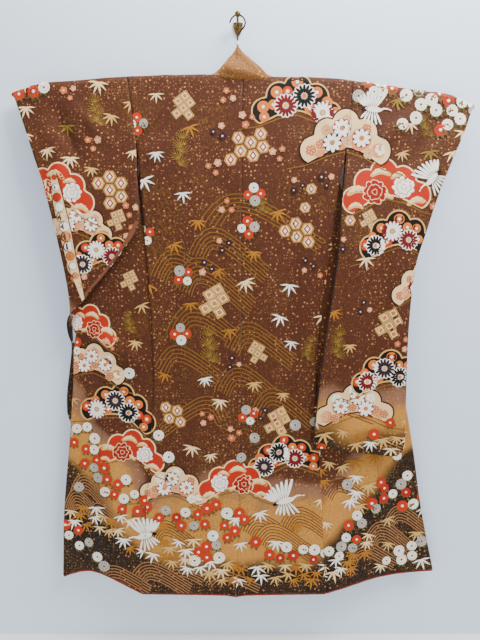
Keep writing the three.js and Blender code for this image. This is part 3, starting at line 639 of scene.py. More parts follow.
def crepe_group():
    """Crepe silk: an uneven dye, a fine pebbled yarn and its height."""
    group, n, given, out = new_group(
        "Crepe silk",
        [("Dye", "Color", (0.5, 0.5, 0.5, 1)), ("Unevenness", "Float", 0.1), ("Grain", "Float", SILK_GRAIN)],
        [("Color", "Color"), ("Roughness", "Float"), ("Height", "Float")],
    )
    place = n.place()
    cloud = n.noise(place, 11.0, 3.0)
    yarn = n.noise(place, given.outputs["Grain"], 2.0, 0.6)
    shade = n.math("ADD", n.math("MULTIPLY", n.math("SUBTRACT", cloud, 0.5), given.outputs["Unevenness"]),
                   n.math("MULTIPLY", n.math("SUBTRACT", yarn, 0.5), YARN_SHADE))
    value = n.math("ADD", 1.0, shade)
    bright = n.add("ShaderNodeHueSaturation", Color=given.outputs["Dye"], Value=value)
    n.put(out.inputs["Color"], bright.outputs["Color"])
    n.put(out.inputs["Roughness"], n.math("ADD", SILK_ROUGHNESS, n.math("MULTIPLY", yarn, YARN_ROUGHNESS)))
    n.put(out.inputs["Height"], n.math("ADD", yarn, n.math("MULTIPLY", cloud, 0.4)))
    return group


# The flecks' two grids: cells to the metre, a fleck's radius in its cell, and how strongly it shows.
FLECKS = ((62.0, 0.11, 1.0), (104.0, 0.14, 0.55))
FLECK_EDGE = 0.1
FLECK_STRENGTH = 0.72
# How far the lines where the grounds meet wander, where they begin to slope, and their blur, in metres.
LINE_WAVE = 0.26
SLOPE_FROM = 0.27
OCHRE_BLUR = (-0.05, 0.05)
DARK_BLUR = (-0.03, 0.05)


def ground_group():
    """The dyed ground: brown above, ochre, then a dark hem, with gold flecks and mist at the edges."""
    group, n, given, out = new_group(
        "Dyed ground",
        [("Brown", "Color", (0.1, 0.05, 0.03, 1)), ("Ochre", "Color", (0.5, 0.3, 0.1, 1)),
         ("Dark", "Color", (0.02, 0.015, 0.01, 1)), ("Fleck", "Color", (0.6, 0.35, 0.2, 1)),
         ("Mist", "Color", (0.4, 0.33, 0.36, 1)), ("Dust", "Color", (0.3, 0.2, 0.08, 1)),
         ("Ochre line", "Float", -1.35), ("Dark line", "Float", -1.6),
         ("Slope", "Float", 0.0)],
        [("Color", "Color"), ("Fleck mask", "Float")],
    )
    place = n.place()
    split = n.add("ShaderNodeSeparateXYZ", Vector=place).outputs
    wave = n.math("MULTIPLY", n.math("SUBTRACT", n.noise(place, 4.5, 2.0), 0.5), LINE_WAVE)
    beyond = n.math("MAXIMUM", n.math("SUBTRACT", n.math("ABSOLUTE", split["X"]), SLOPE_FROM), 0.0)
    across = n.math("MULTIPLY", beyond, given.outputs["Slope"])
    level = n.math("SUBTRACT", n.math("ADD", split["Z"], wave), across)
    ochre = n.ramp(n.math("SUBTRACT", given.outputs["Ochre line"], level), *OCHRE_BLUR)
    dark = n.ramp(n.math("SUBTRACT", given.outputs["Dark line"], level), *DARK_BLUR)
    edge = n.math("MULTIPLY", n.math("MULTIPLY", ochre, n.math("SUBTRACT", 1.0, ochre)), 2.6)
    base = n.blend(ochre, given.outputs["Brown"], given.outputs["Ochre"])
    base = n.blend(edge, base, given.outputs["Mist"])
    base = n.blend(dark, base, given.outputs["Dark"])
    cloud = n.ramp(n.noise(place, 6.0, 4.0, 0.6), 0.42, 0.68)
    speckle = n.ramp(n.noise(place, 190.0, 2.0, 0.7), 0.47, 0.62)
    dust = n.math("MULTIPLY", n.math("ADD", n.math("MULTIPLY", cloud, 0.5), 0.24), speckle)
    base = n.blend(dust, base, given.outputs["Dust"])
    flecks = []
    for scale, size, strength in FLECKS:
        cell = n.add("ShaderNodeTexVoronoi", {"feature": "F1"}, Vector=place, Scale=scale, Randomness=0.62)
        spot = n.ramp(cell.outputs["Distance"], size + FLECK_EDGE, size)
        flecks.append(n.math("MULTIPLY", spot, strength))
    fleck = n.math("MULTIPLY", n.math("MAXIMUM", *flecks), FLECK_STRENGTH)
    n.put(out.inputs["Color"], n.blend(fleck, base, given.outputs["Fleck"]))
    n.put(out.inputs["Fleck mask"], fleck)
    return group


def cached_group(name, build):
    return bpy.data.node_groups.get(name) or build()


def start_material(name):
    material = bpy.data.materials.new(name)
    material.use_nodes = True
    n = Nodes(material.node_tree)
    return material, n, material.node_tree.nodes["Principled BSDF"]


SILK_SHINE = {"Sheen Weight": 0.05, "Sheen Roughness": 0.45, "Specular IOR Level": 0.18}


def finish_cloth(n, shader, dye, grain, depth, unevenness):
    """Feeds a cloth material from the crepe group."""
    crepe = n.add("ShaderNodeGroup", {"node_tree": cached_group("Crepe silk", crepe_group)})
    n.put(crepe.inputs["Dye"], dye)
    crepe.inputs["Grain"].default_value = grain
    crepe.inputs["Unevenness"].default_value = unevenness
    bump = n.add("ShaderNodeBump", Height=crepe.outputs["Height"], Strength=0.35, Distance=depth)
    n.put(shader.inputs["Base Color"], crepe.outputs["Color"])
    n.put(shader.inputs["Roughness"], crepe.outputs["Roughness"])
    n.put(shader.inputs["Normal"], bump.outputs["Normal"])
    for label, value in SILK_SHINE.items():
        shader.inputs[label].default_value = value


# Each printed silk's ochre line and dark line, in millimetres, and how far they slope outwards.
GRADIENTS = {
    "silk_body": (-1400, -1622, 1.15),
    "silk_sleeve_left": (-850, -862, 0.0),
    "silk_sleeve_right": (-1095, -1196, 0.0),
    "silk_collar_painted_highlight": (-1300, -1500, 0.0),
}


def printed_silk(name):
    """The dyed silk of one group of panels, with its own gradient."""
    if name in bpy.data.materials:
        return bpy.data.materials[name]
    dyes = bpy.context.scene.furisode_dyes
    material, n, shader = start_material(name)
    ground = n.add("ShaderNodeGroup", {"node_tree": cached_group("Dyed ground", ground_group)})
    for label in ("Brown", "Ochre", "Dark", "Fleck", "Mist", "Dust"):
        ground.inputs[label].default_value = (*getattr(dyes, label.lower()), 1)
    ochre_line, dark_line, slope = GRADIENTS[name]
    ground.inputs["Ochre line"].default_value = ochre_line * MM
    ground.inputs["Dark line"].default_value = dark_line * MM
    ground.inputs["Slope"].default_value = slope
    finish_cloth(n, shader, ground.outputs["Color"], SILK_GRAIN, 0.0006, 0.22)
    return material


DYES = {
    "white": (244, 238, 224), "cream": (238, 204, 150), "pink": (212, 146, 108), "peach": (188, 104, 62),
    "blush": (214, 134, 80), "amber": (206, 108, 34), "orange": (184, 50, 12), "red": (174, 38, 12),
    "deep_red": (146, 20, 8), "crimson": (104, 14, 14), "purple": (46, 26, 34), "lilac": (180, 172, 160),
    "black": (14, 8, 7), "line": (46, 18, 12), "olive": (130, 104, 36), "ochre": (164, 106, 30),
    "copper": (148, 102, 60), "shell": (236, 196, 142), "moss": (88, 76, 36), "sand": (206, 164, 94),
    "umber": (92, 50, 20), "tan": (112, 66, 44), "gold": (184, 130, 66), "old_gold": (128, 88, 36),
}
GOLD_LEAF = "old_gold"
LEAF_METALLIC = 0.35
LEAF_ROUGHNESS = 0.42


def dye(name):
    """The silk of one dye, or gold leaf on silk."""
    if "dye_" + name in bpy.data.materials:
        return bpy.data.materials["dye_" + name]
    material, n, shader = start_material("dye_" + name)
    leaf = name == GOLD_LEAF
    finish_cloth(n, shader, colour(DYES[name]), SILK_GRAIN, 0.0004, 0.3 if leaf else 0.12)
    if leaf:
        n.tree.links.remove(shader.inputs["Roughness"].links[0])
        shader.inputs["Roughness"].default_value = LEAF_ROUGHNESS
        shader.inputs["Metallic"].default_value = LEAF_METALLIC
    return material


# ---- drawing on the cloth: flat shapes in millimetres, each with a dye and a layer ----

# The height of the lowest layer above the silk and the step from layer to layer.
FIRST_LAYER = 0.32
LAYER = 0.09


class Drawing:
    """Flat shapes that are then laid on a part of the garment."""

    def __init__(self):
        self.points = []
        self.triangles = []
        self.dyes = []
        self.layers = []
        self.lift = 0
        self.count = 0

    def patch(self, flat, triangles, dye_name, layer):
        self.points.append(np.asarray(flat, float))
        self.triangles.append(np.asarray(triangles, int) + self.count)
        self.dyes += [dye_name] * len(triangles)
        self.layers += [layer + self.lift] * len(flat)
        self.count += len(flat)

    def fan(self, outline, dye_name, layer, centre=None, rings=1):
        """A filled outline that every point of its middle can see."""
        outline = np.asarray(outline, float)
        centre = outline.mean(0) if centre is None else np.asarray(centre, float)
        n = len(outline)
        flat = [centre[None]] + [mix(centre, outline, (r + 1) / rings) for r in range(rings)]
        triangles = [(0, 1 + i, 1 + (i + 1) % n) for i in range(n)]
        for r in range(rings - 1):
            low, high = 1 + r * n, 1 + (r + 1) * n
            for i in range(n):
                k = (i + 1) % n
                triangles += [(low + i, high + i, high + k), (low + i, high + k, low + k)]
        self.patch(np.concatenate(flat), triangles, dye_name, layer)

    def ribbon(self, path, width, dye_name, layer, closed=False):
        """A line of the given width along a path."""
        path = np.asarray(path, float)
        if closed:
            path = np.concatenate([path, path[:1]])
        run = np.gradient(path, axis=0)
        if closed:
            run[0] = run[-1] = path[1] - path[-2]
        across = unit(np.stack([-run[:, 1], run[:, 0]], axis=1)) * (np.asarray(width) / 2).reshape(-1, 1)
        n = len(path)
        triangles = [t for i in range(n - 1) for t in ((i, i + 1, n + i + 1), (i, n + i + 1, n + i))]
        self.patch(np.concatenate([path + across, path - across]), triangles, dye_name, layer)


def turned(shape, x, z, size=1.0, turn=0.0):
    """A shape's points scaled, turned by degrees and moved to a place."""
    c, s = math.cos(math.radians(turn)), math.sin(math.radians(turn))
    shape = np.asarray(shape, float) * size
    return np.stack([x + shape[:, 0] * c - shape[:, 1] * s, z + shape[:, 0] * s + shape[:, 1] * c], axis=1)


def round_outline(count, radius):
    """An outline from its radius as a function of the angle."""
    angle = np.linspace(0, 2 * math.pi, count, endpoint=False)
    r = radius(angle) * np.ones(count)
    return np.stack([r * np.cos(angle), r * np.sin(angle)], axis=1)


def round_shape(drawing, x, z, r, turn, count, radius, dye_name, layer, rings=1):
    """A filled round shape, from its radius as a function of the angle."""
    drawing.fan(turned(round_outline(count, radius), x, z, r, turn), dye_name, layer, (x, z), rings)


def disc(drawing, x, z, r, dye_name, layer, count=12):
    round_shape(drawing, x, z, r, 0, count, lambda a: 1, dye_name, layer)


def petal_outline(length, wide, start=0.0, points_each=5):
    """A petal along +X: narrow at its root, round at its end."""
    t = np.linspace(0, 1, points_each)
    half = wide / 2 * np.sin(math.pi * (0.12 + 0.88 * t) * 0.78) / math.sin(math.pi * 0.5)
    x = start + (length - start) * t
    tip = np.array([[length + wide * 0.16, 0]])
    return np.concatenate([np.stack([x, half], axis=1), tip, np.stack([x, -half], axis=1)[::-1]])


def chrysanthemum(drawing, x, z, r, turn, petals, dyes, layer):
    """A round flower of many narrow petals on a disc of the line's dye."""
    petal_dye, line_dye, heart_dye = dyes
    rim = lambda a: 1 - 0.06 * np.cos(petals * a)
    round_shape(drawing, x, z, r, turn, 4 * petals, rim, line_dye, layer, 2)
    shape = petal_outline(0.93, 0.78 * 2 * math.pi * 0.78 / petals, 0.24)
    for i in range(petals):
        drawing.fan(turned(shape, x, z, r, turn + (i + 0.5) * 360 / petals), petal_dye, layer + 1)
    disc(drawing, x, z, 0.2 * r, heart_dye, layer + 2)


def blossom(drawing, x, z, r, turn, dye_name, layer=2):
    """A small open flower: five petals with notches between them, and a pale heart."""
    rim = lambda a: 1 - 0.3 * (1 - np.abs(np.cos(2.5 * a)) ** 0.6)
    round_shape(drawing, x, z, r, turn, 40, rim, dye_name, layer)
    disc(drawing, x, z, 0.26 * r, "cream", layer + 1, 8)


def cherry_radius(a):
    """The radius of a cherry blossom: five lobes, each with a notch in its end."""
    notch = np.exp(-(((a * 5 / (2 * math.pi) + 0.5) % 1 - 0.5) / 0.07) ** 2)
    return 0.62 + 0.38 * np.abs(np.cos(2.5 * a)) ** 0.5 - 0.16 * notch


def cherry(drawing, x, z, r, turn, dye_name, line_dye, layer):
    """A cherry blossom: five heart-shaped petals, each with a vein."""
    round_shape(drawing, x, z, r * 1.12, turn, 60, cherry_radius, line_dye, layer)
    round_shape(drawing, x, z, r, turn, 60, cherry_radius, dye_name, layer + 1)
    for i in range(5):
        drawing.fan(turned(petal_outline(0.66, 0.13, 0.2, 3), x, z, r, turn + 72 * i), line_dye, layer + 2)
    disc(drawing, x, z, 0.15 * r, "ochre", layer + 3, 8)


LEAF = [(0, 0), (0.1, 0.045), (0.3, 0.085), (0.55, 0.08), (0.8, 0.04), (1, 0), (0.8, -0.04), (0.55, -0.08),
        (0.3, -0.085), (0.1, -0.045)]
BROAD_LEAF = np.array(LEAF) * (1, 2.8)
# The dye of the lines between a pompon's petals, by the dye of the petals.
PETAL_LINES = {"white": "sand", "lilac": "purple", "orange": "red", "red": "crimson"}


def pompon(drawing, x, z, r, turn, dye_name, heart_dye, layer):
    """A full little flower with a scalloped rim, fine lines between its petals and three leaves."""
    round_shape(drawing, x, z, r, turn, 48, lambda a: 1 - 0.09 * np.abs(np.sin(6 * a)), dye_name, layer)
    for i in range(12):
        a = math.radians(turn + 30 * i)
        path = [(x + q * r * math.cos(a), z + q * r * math.sin(a)) for q in (0.42, 0.86)]
        drawing.ribbon(path, 0.07 * r, PETAL_LINES[dye_name], layer + 1)
    disc(drawing, x, z, (0.2 if dye_name in ("white", "lilac") else 0.24) * r, heart_dye, layer + 2, 10)
    for i in range(3):
        drawing.fan(turned(BROAD_LEAF, x, z, 1.55 * r, -30 - (7 * turn) % 60 - 38 * i), "moss", 1 + 0.1 * i)


def bamboo(drawing, x, z, size, turn, dye_name, layer, count):
    """A spray of bamboo leaves that hang from one joint."""
    for i in range(count):
        spread = (i - (count - 1) / 2) * 168 / (count - 1)
        long = size * (1 - 0.09 * abs(i - (count - 1) / 2))
        drawing.fan(turned(LEAF, x, z, long, turn - 90 + spread), dye_name, layer + (i % 2) * 0.5)


# The tufts of a pine branch: where they stand on it, and the way they lean, in degrees.
TUFTS = [(0.04, -0.35, 58), (-0.02, -0.1, 128), (0, 0.2, 62), (0, 0.4, 124), (0.02, 0.75, 90)]


def pine(drawing, x, z, size, turn, layer=1):
    """A pine branch: a stem with tufts of needles."""
    stem = turned([(0, -0.9), (0.04, -0.4), (-0.02, 0.1), (0.02, 0.7)], x, z, size, turn)
    drawing.ribbon(stem, 0.05 * size, "umber", layer)
    for k, (px, pz, lean) in enumerate(TUFTS):
        cx, cz = turned([(px, pz)], x, z, size, turn)[0]
        for i in range(9):
            a = turn + lean + (i - 4) * 17
            tip = turned([(0.46 - 0.03 * abs(i - 4), 0)], cx, cz, size, a)[0]
            drawing.ribbon([(cx, cz), tip], 0.022 * size, "olive", layer + 1 + (k % 2) * 0.4)


# The nested hexagons of a tortoiseshell cell and the nested lozenges in it: size, dye, layer and rings.
HEXAGONS = [(1.02, "old_gold", 1.5, 2), (0.94, "gold", 2, 2), (0.72, "cream", 3, 1)]
LOZENGES = [(0.66, "deep_red", 5), (0.36, "white", 6)]


def hexagon(drawing, x, z, r, turn):
    """One tortoiseshell hexagon with a lozenge flower in it."""
    for share, dye_name, layer, rings in HEXAGONS:
        round_shape(drawing, x, z, r * share, turn, 6, lambda a: 1, dye_name, layer, rings)
    four = round_outline(4, lambda a: 1) * (0.76, 1)
    for share, dye_name, layer in LOZENGES:
        drawing.fan(turned(four, x, z, r * share), dye_name, layer, (x, z))


def tortoiseshell(drawing, x, z, r, turn, cells):
    """A patch of hexagons, at cells of a honeycomb."""
    for q, p in cells:
        cx = 1.5 * q * r * 1.06
        cz = math.sqrt(3) * (p + q / 2) * r * 1.06
        hx, hz = turned([(cx, cz)], x, z, 1, turn)[0]
        hexagon(drawing, hx, hz, r, turn)


# The nested squares of a woven lozenge: size, dye and layer.
SQUARES = [
    (1, "sand", 2), (0.84, "umber", 2.6), (0.74, "sand", 3.2), (0.62, "cream", 3.6), (0.42, "peach", 4.2)]


def lattice(drawing, x, z, size, turn):
    """A woven lozenge of nested squares."""
    square = np.array([(-0.5, -0.5), (0.5, -0.5), (0.5, 0.5), (-0.5, 0.5)])
    for i, j in ((0, 0), (1, 0), (0, 1), (-1, 0), (0, -1), (1, 1)):
        place = turned([(i * 1.04, j * 1.04)], x, z, size, turn)[0]
        for share, dye_name, layer in SQUARES:
            drawing.fan(turned(square, *place, size * share, turn), dye_name, layer)


# The outline of a hill, from its foot over its top to the end of its long slope.
HILL = table(
    "s z",
    (-1, 0), (-0.8, 0.4), (-0.55, 0.74), (-0.3, 0.94), (0, 1), (0.3, 0.94), (0.6, 0.78), (1, 0.5), (1.5, 0.1),
    (2.1, -0.38),
)
HILL_DEPTH = 45.0
HILL_POINTS = 64
# The gap between a hill's lines and their width, by dye.
HILL_LINES = {"old_gold": (12.5, 3.2), "umber": (10.0, 2.8), "copper": (10.0, 3.5)}


def hill_line(item, depth=0.0, narrow=1.0):
    """One line of a hill in its place: the outer one, or one lower down and narrower on its near side."""
    s = np.linspace(-1, 2.1, HILL_POINTS)
    across = np.where(s < 0, s * narrow, s) * item["wide"]
    rise = along(HILL, "s", "z", s) * item["high"] - depth
    return np.stack([item["x"] + item["flip"] * across, item["z"] + rise], axis=1)


def hill_outline(item):
    """The area that a hill covers."""
    outer = hill_line(item)
    return np.concatenate([outer, outer[[-1, 0]] - (0, HILL_DEPTH)])


def within(points, outline):
    """Which points lie inside a closed outline."""
    a, b = outline, np.roll(outline, -1, axis=0)
    x, z = points[:, :1], points[:, 1:]
    spans = (a[:, 1] > z) != (b[:, 1] > z)
    rise = np.where(np.abs(b[:, 1] - a[:, 1]) < 1e-9, 1e-9, b[:, 1] - a[:, 1])
    crossings = spans & (x < a[:, 0] + (z - a[:, 1]) * (b[:, 0] - a[:, 0]) / rise)
    return crossings.sum(axis=1) % 2 == 1


def hills(drawing, item, nearer, layer=0.2):
    """Nested lines of one hill, broken off behind the nearer hills."""
    gap, width = HILL_LINES[item["dye"]]
    for k in range(item["lines"]):
        line = hill_line(item, gap * k, 1 - 0.1 * k)[k:HILL_POINTS - k]
        hidden = np.zeros(len(line), dtype=bool)
        for other in nearer:
            hidden |= within(line, hill_outline(other))
        runs = np.split(np.arange(len(line)), np.flatnonzero(np.diff(hidden)) + 1)
        for run in runs:
            if len(run) > 2 and not hidden[run[0]]:
                drawing.ribbon(line[run], width, item["dye"], layer)


def crane(drawing, x, z, size, turn, flip):
    """A flying crane: body, neck, two wings of long feathers."""
    def shape(rows):
        return np.array(rows, float) * (flip, 1)
    for i in range(8):
        feather = petal_outline(0.95 - 0.05 * i, 0.14, 0.1, 4) * (flip, 1)
        base = turned(shape([(0.05 - 0.06 * i, 0.02)]), x, z, size, turn)[0]
        drawing.fan(turned(feather, *base, size, turn + flip * (62 + 11 * i)), "white", 3 + 0.3 * (i % 2))
        if i < 6:
            low = turned(shape([(0.1 - 0.07 * i, -0.06)]), x, z, size, turn)[0]
            lean = turn - flip * (60 + 13 * i)
            drawing.fan(turned(feather, *low, size * 0.72, lean), "white", 2.4 + 0.3 * (i % 2))
    body = round_outline(20, lambda a: 1 / np.sqrt((np.cos(a) / 0.42) ** 2 + (np.sin(a) / 0.13) ** 2))
    drawing.fan(turned(body * (flip, 1), x, z, size, turn), "white", 4)
    neck = turned(shape([(0.3, 0.02), (0.52, 0.1), (0.7, 0.1), (0.86, 0.05)]), x, z, size, turn)
    drawing.ribbon(neck, np.array([0.11, 0.07, 0.06, 0.04]) * size, "white", 4.3)
    tail = turned(shape([(-0.3, 0), (-0.55, -0.05)]), x, z, size, turn)
    drawing.ribbon(tail, 0.12 * size, "black", 3.8)
    disc(drawing, *turned(shape([(0.74, 0.12)]), x, z, size, turn)[0], 0.045 * size, "red", 5, 6)


# The round lobes of a cloud, as shares of its width, and the arch that hollows its underside.
LOBES = [(-0.36, -0.12, 0.14), (-0.2, 0.05, 0.145), (0.01, 0.13, 0.155), (0.21, 0.04, 0.145),
         (0.37, -0.13, 0.135), (-0.13, -0.03, 0.15), (0.13, -0.04, 0.15)]
ARCH_DROP = 0.1
ARCH_BEND = 1.3


def cloud_outline(count=120):
    """The outline of a cloud of round lobes over an arched underside, seen from its middle."""
    angle = np.linspace(0, 2 * math.pi, count, endpoint=False)
    direction = np.stack([np.cos(angle), np.sin(angle)], axis=1)
    far = np.zeros(count)
    for x, z, r in LOBES:
        b = direction @ np.array([x, z])
        inside = b * b - (x * x + z * z - r * r)
        far = np.maximum(far, np.where(inside > 0, b + np.sqrt(np.maximum(inside, 0)), 0))
    across, down = direction[:, 0], np.maximum(-direction[:, 1], 1e-6)
    inside = down**2 - 4 * ARCH_BEND * ARCH_DROP * across**2
    arch = 2 * ARCH_DROP / (down + np.sqrt(np.maximum(inside, 0)))
    far = np.where((direction[:, 1] < 0) & (inside > 0), np.minimum(far, arch), far)
    return direction * far[:, None]


CLOUD = cloud_outline()
# The fill and the rim of each kind of cloud.
CLOUD_FINISH = {"black": ("black", "sand"), "cream": ("shell", "line"), "red": ("red", "cream")}
CLOUD_RIM = 4.6
# What stands in each kind of cloud: places, and sizes where they differ, as shares of its width.
BIG_FLOWERS = [(-0.29, -0.11), (-0.07, 0.06), (0.13, -0.06)]
BERRIES = [(-0.43, -0.1), (-0.33, 0.01), (-0.21, 0.11), (0.02, 0.21), (0.12, 0.1), (0.24, 0.08),
           (0.27, -0.06), (0.38, -0.09), (0.36, -0.2), (-0.14, -0.07)]
BLUSHES = [(-0.16, -0.02, 0.12), (0.08, -0.02, 0.12), (0.3, -0.14, 0.08), (-0.36, -0.13, 0.08)]
CHERRIES = [(-0.38, -0.12), (0.38, -0.15), (0.22, 0.07), (0.0, 0.2), (-0.22, 0.1), (0.27, -0.08),
            (-0.26, -0.16), (-0.02, -0.03)]
DAISIES = [(-0.17, 0.0), (0.05, 0.1), (0.15, -0.06)]
PALE_CLOUDS = [(-0.34, -0.2, 0.24), (0.05, 0.15, 0.24), (0.32, -0.04, 0.26), (-0.15, 0.1, 0.18),
               (0.02, -0.12, 0.2), (0.36, -0.21, 0.18)]
MIST_LINE = np.array([(-0.64, -0.36), (-0.42, -0.31), (-0.2, -0.21), (0, -0.15), (0.2, -0.21), (0.42, -0.33),
                      (0.64, -0.38)])
MIST_LAYER = 0.6


def cloud(drawing, x, z, width, turn, kind, seed):
    """A cloud-shaped window with its rim, its flowers and the mist line under it."""
    fill, rim = CLOUD_FINISH[kind]
    draw = random.Random(seed)
    flip = draw.choice((-1, 1))
    shape = CLOUD * (flip, draw.uniform(0.98, 1.12))
    shape = shape if flip > 0 else shape[::-1]
    outline = turned(shape, x, z, width, turn)
    drawing.fan(outline, fill, 2, (x, z), 14)
    drawing.ribbon(outline, CLOUD_RIM, rim, 2.6, closed=True)

    def at(px, pz):
        return turned([(flip * px, pz)], x, z, width, turn)[0]

    if kind == "black":
        flowers = [("white", "crimson", "sand"), ("purple", "white", "sand"), ("crimson", "white", "sand"),
                   ("black", "white", "amber")]
        draw.shuffle(flowers)
        for place in BERRIES:
            size = draw.uniform(0.055, 0.068) * width
            berry(drawing, *at(*place), size, draw.choice(("amber", "amber", "orange")), 3)
        for place, dyes in zip(BIG_FLOWERS, flowers):
            chrysanthemum(drawing, *at(*place), 0.13 * width, draw.uniform(0, 30), 15, dyes, 5)
    elif kind == "cream":
        for px, pz, r in BLUSHES:
            disc(drawing, *at(px, pz), r * width, "blush", 2.8, 18)
        for place in CHERRIES:
            petals = draw.choice(("peach", "peach", "white", "pink"))
            size = draw.uniform(0.055, 0.07) * width
            cherry(drawing, *at(*place), size, draw.uniform(0, 72), petals, "cream", 3)
        for place in DAISIES:
            dyes = ("white", draw.choice(("crimson", "line", "crimson")), "amber")
            chrysanthemum(drawing, *at(*place), 0.105 * width, draw.uniform(0, 40), 9, dyes, 6)
    else:
        for px, pz, share in PALE_CLOUDS:
            for spot, wide, high, dye_name, layer in (
                (at(px, pz), 1, 0.75, "sand", 3),
                (at(px, pz + 0.02), 0.8, 0.6, "cream", 3.4),
            ):
                little = turned(CLOUD * (wide, high), *spot, share * width, turn)
                drawing.fan(little, dye_name, layer, spot, 2)
        peony(drawing, *at(-0.2, -0.03), 0.13 * width, draw.uniform(0, 60), draw, "red", "white")
        peony(drawing, *at(0.13, -0.06), 0.14 * width, draw.uniform(0, 60), draw)
    steps = np.linspace(0, len(MIST_LINE) - 1, 40)
    path = np.stack([np.interp(steps, range(len(MIST_LINE)), MIST_LINE[:, i]) for i in (0, 1)], axis=1)
    drawing.ribbon(turned(path, x, z, width, turn), 3.2, "old_gold", MIST_LAYER)


def berry(drawing, x, z, r, dye_name, layer):
    """A small round flower that glows at its heart."""
    disc(drawing, x, z, r, dye_name, layer, 14)
    inner = "amber" if dye_name != "amber" else "peach"
    round_shape(drawing, x, z, 0.6 * r, 0, 24, lambda a: 1 - 0.2 * np.abs(np.sin(4 * a)), inner, layer + 0.5)
    disc(drawing, x, z, 0.3 * r, "white", layer + 1, 10)


def peony(drawing, x, z, r, turn, draw, line="cream", petal="deep_red"):
    """A peony drawn in lines: rings of uneven petals."""
    for ring, (count, away, size) in enumerate(((9, 0.7, 0.34), (6, 0.38, 0.3), (1, 0, 0.24))):
        for i in range(count):
            reach = away * draw.uniform(0.9, 1.08)
            px, pz = turned([(reach, 0)], x, z, r, turn + 360 * i / count + 20 * ring)[0]
            lobe = draw.uniform(0, 6)
            outline = turned(round_outline(14, lambda a: 1 + 0.14 * np.sin(3 * a + lobe)), px, pz, size * r)
            drawing.fan(outline, line, 4.4 + ring, (px, pz))
            drawing.fan(mix(np.array([px, pz]), outline, 0.8), petal, 4.9 + ring, (px, pz))


# ---- where the motifs stand ----

CLOUDS = records(
    "on x z width turn kind",
    ("back", 175, -212, 262, -4, "black"),
    ("back sleeve_right", 318, -318, 268, -2, "cream"),
    ("sleeve_right", 436, -458, 262, 4, "red"),
    ("sleeve_right", 474, -604, 232, 3, "black"),
    ("sleeve_right", 560, -742, 210, 6, "cream"),
    ("sleeve_right", 462, -1016, 235, 2, "black"),
    ("sleeve_right", 355, -1116, 240, 4, "cream"),
    ("sleeve_left", -532, -462, 230, -12, "red"),
    ("sleeve_left", -470, -566, 205, -8, "cream"),
    ("sleeve_left", -405, -656, 215, 8, "black"),
    ("front_left", -462, -868, 190, -14, "red"),
    ("front_left", -446, -992, 205, -8, "cream"),
    ("front_left back", -370, -1128, 240, -12, "black"),
    ("front_left back", -335, -1268, 215, -10, "red"),
    ("back front_left", -200, -1384, 220, -6, "cream"),
    ("back", -12, -1366, 230, 2, "red"),
    ("back", 146, -1284, 236, 8, "black"),
)
SHELLS = records(
    "on x z r turn cells",
    ("back", 8, -356, 21, 10, ((0, 0), (1, 0), (0, 1), (1, -1), (2, -1), (2, 0), (-1, 0))),
    ("sleeve_left", -378, -470, 21, 0, ((0, 0), (1, 0), (0, 1), (-1, 1), (0, -1), (1, -1))),
    ("back", 176, -605, 21, 5, ((0, 0), (1, 0), (-1, 1), (0, 1), (1, -1))),
    ("back front_left", -215, -1165, 20, 15, ((0, 0), (1, 0), (0, 1), (1, -1))),
    ("sleeve_right", 330, -560, 18, 0, ((0, 0),)),
    ("back", 200, -520, 18, 12, ((0, 0), (1, 1))),
)
LATTICES = records(
    "on x z size turn",
    ("back", -160, -232, 24, 38), ("back", -72, -806, 30, 30), ("back", 122, -1180, 27, 28),
    ("sleeve_right", 455, -872, 27, 30), ("sleeve_right", 385, -560, 17, 30),
    ("sleeve_left", -360, -560, 18, 20), ("back", 60, -960, 20, 60), ("front_left", -330, -740, 18, 25),
)
HILLS = records(
    "on x z wide high lines dye flip",
    ("back", 0, -580, 125, 100, 5, "old_gold", 1),
    ("back", -72, -666, 80, 86, 6, "old_gold", 1),
    ("back", -193, -721, 70, 76, 6, "old_gold", 1),
    ("back", -118, -759, 82, 90, 7, "old_gold", 1),
    ("back", -134, -892, 85, 84, 6, "old_gold", 1),
    ("back", 30, -939, 72, 76, 6, "old_gold", 1),
    ("back", -185, -1002, 70, 68, 5, "old_gold", 1),
    ("back", -0, -1073, 74, 80, 6, "old_gold", 1),
    ("back", -100, -1162, 70, 68, 5, "old_gold", -1),
    ("back", 105, -1137, 62, 68, 5, "old_gold", 1),
    ("back front_right", 320, -1411, 58, 54, 6, "umber", 1),
    ("back front_left", -234, -1551, 52, 50, 6, "umber", 1),
    ("back", 67, -1533, 60, 56, 6, "umber", 1),
    ("back", 194, -1514, 60, 60, 7, "umber", 1),
    ("back", 109, -1568, 64, 60, 7, "umber", 1),
    ("front_left", -495, -1418, 46, 64, 7, "copper", 1),
    ("front_left", -522, -1467, 40, 60, 7, "copper", 1),
    ("front_left", -447, -1497, 40, 50, 6, "copper", 1),
    ("front_left back", -198, -1685, 74, 58, 7, "copper", 1),
    ("front_left back", -285, -1697, 66, 56, 7, "copper", 1),
    ("front_left back", -405, -1706, 60, 48, 6, "copper", 1),
    ("back", -52, -1708, 60, 36, 4, "copper", 1),
    ("front_right", 524, -1521, 52, 54, 6, "copper", 1),
    ("front_right", 461, -1574, 54, 60, 8, "copper", 1),
    ("front_right back", 405, -1629, 56, 50, 6, "copper", 1),
    ("sleeve_right", 300, -1140, 60, 30, 4, "umber", 1),
    ("sleeve_right", 400, -1236, 54, 28, 4, "copper", 1),
)
PINES = records(
    "on x z size turn",
    ("sleeve_left", -410, -262, 62, 12), ("back", -172, -372, 70, -8), ("back", -84, -960, 74, 5),
    ("sleeve_right", 300, -945, 60, -6), ("back", 75, -520, 52, 20), ("front_left", -330, -880, 46, 10),
    ("sleeve_right", 560, -300, 44, 25), ("back", 215, -960, 50, -12),
)
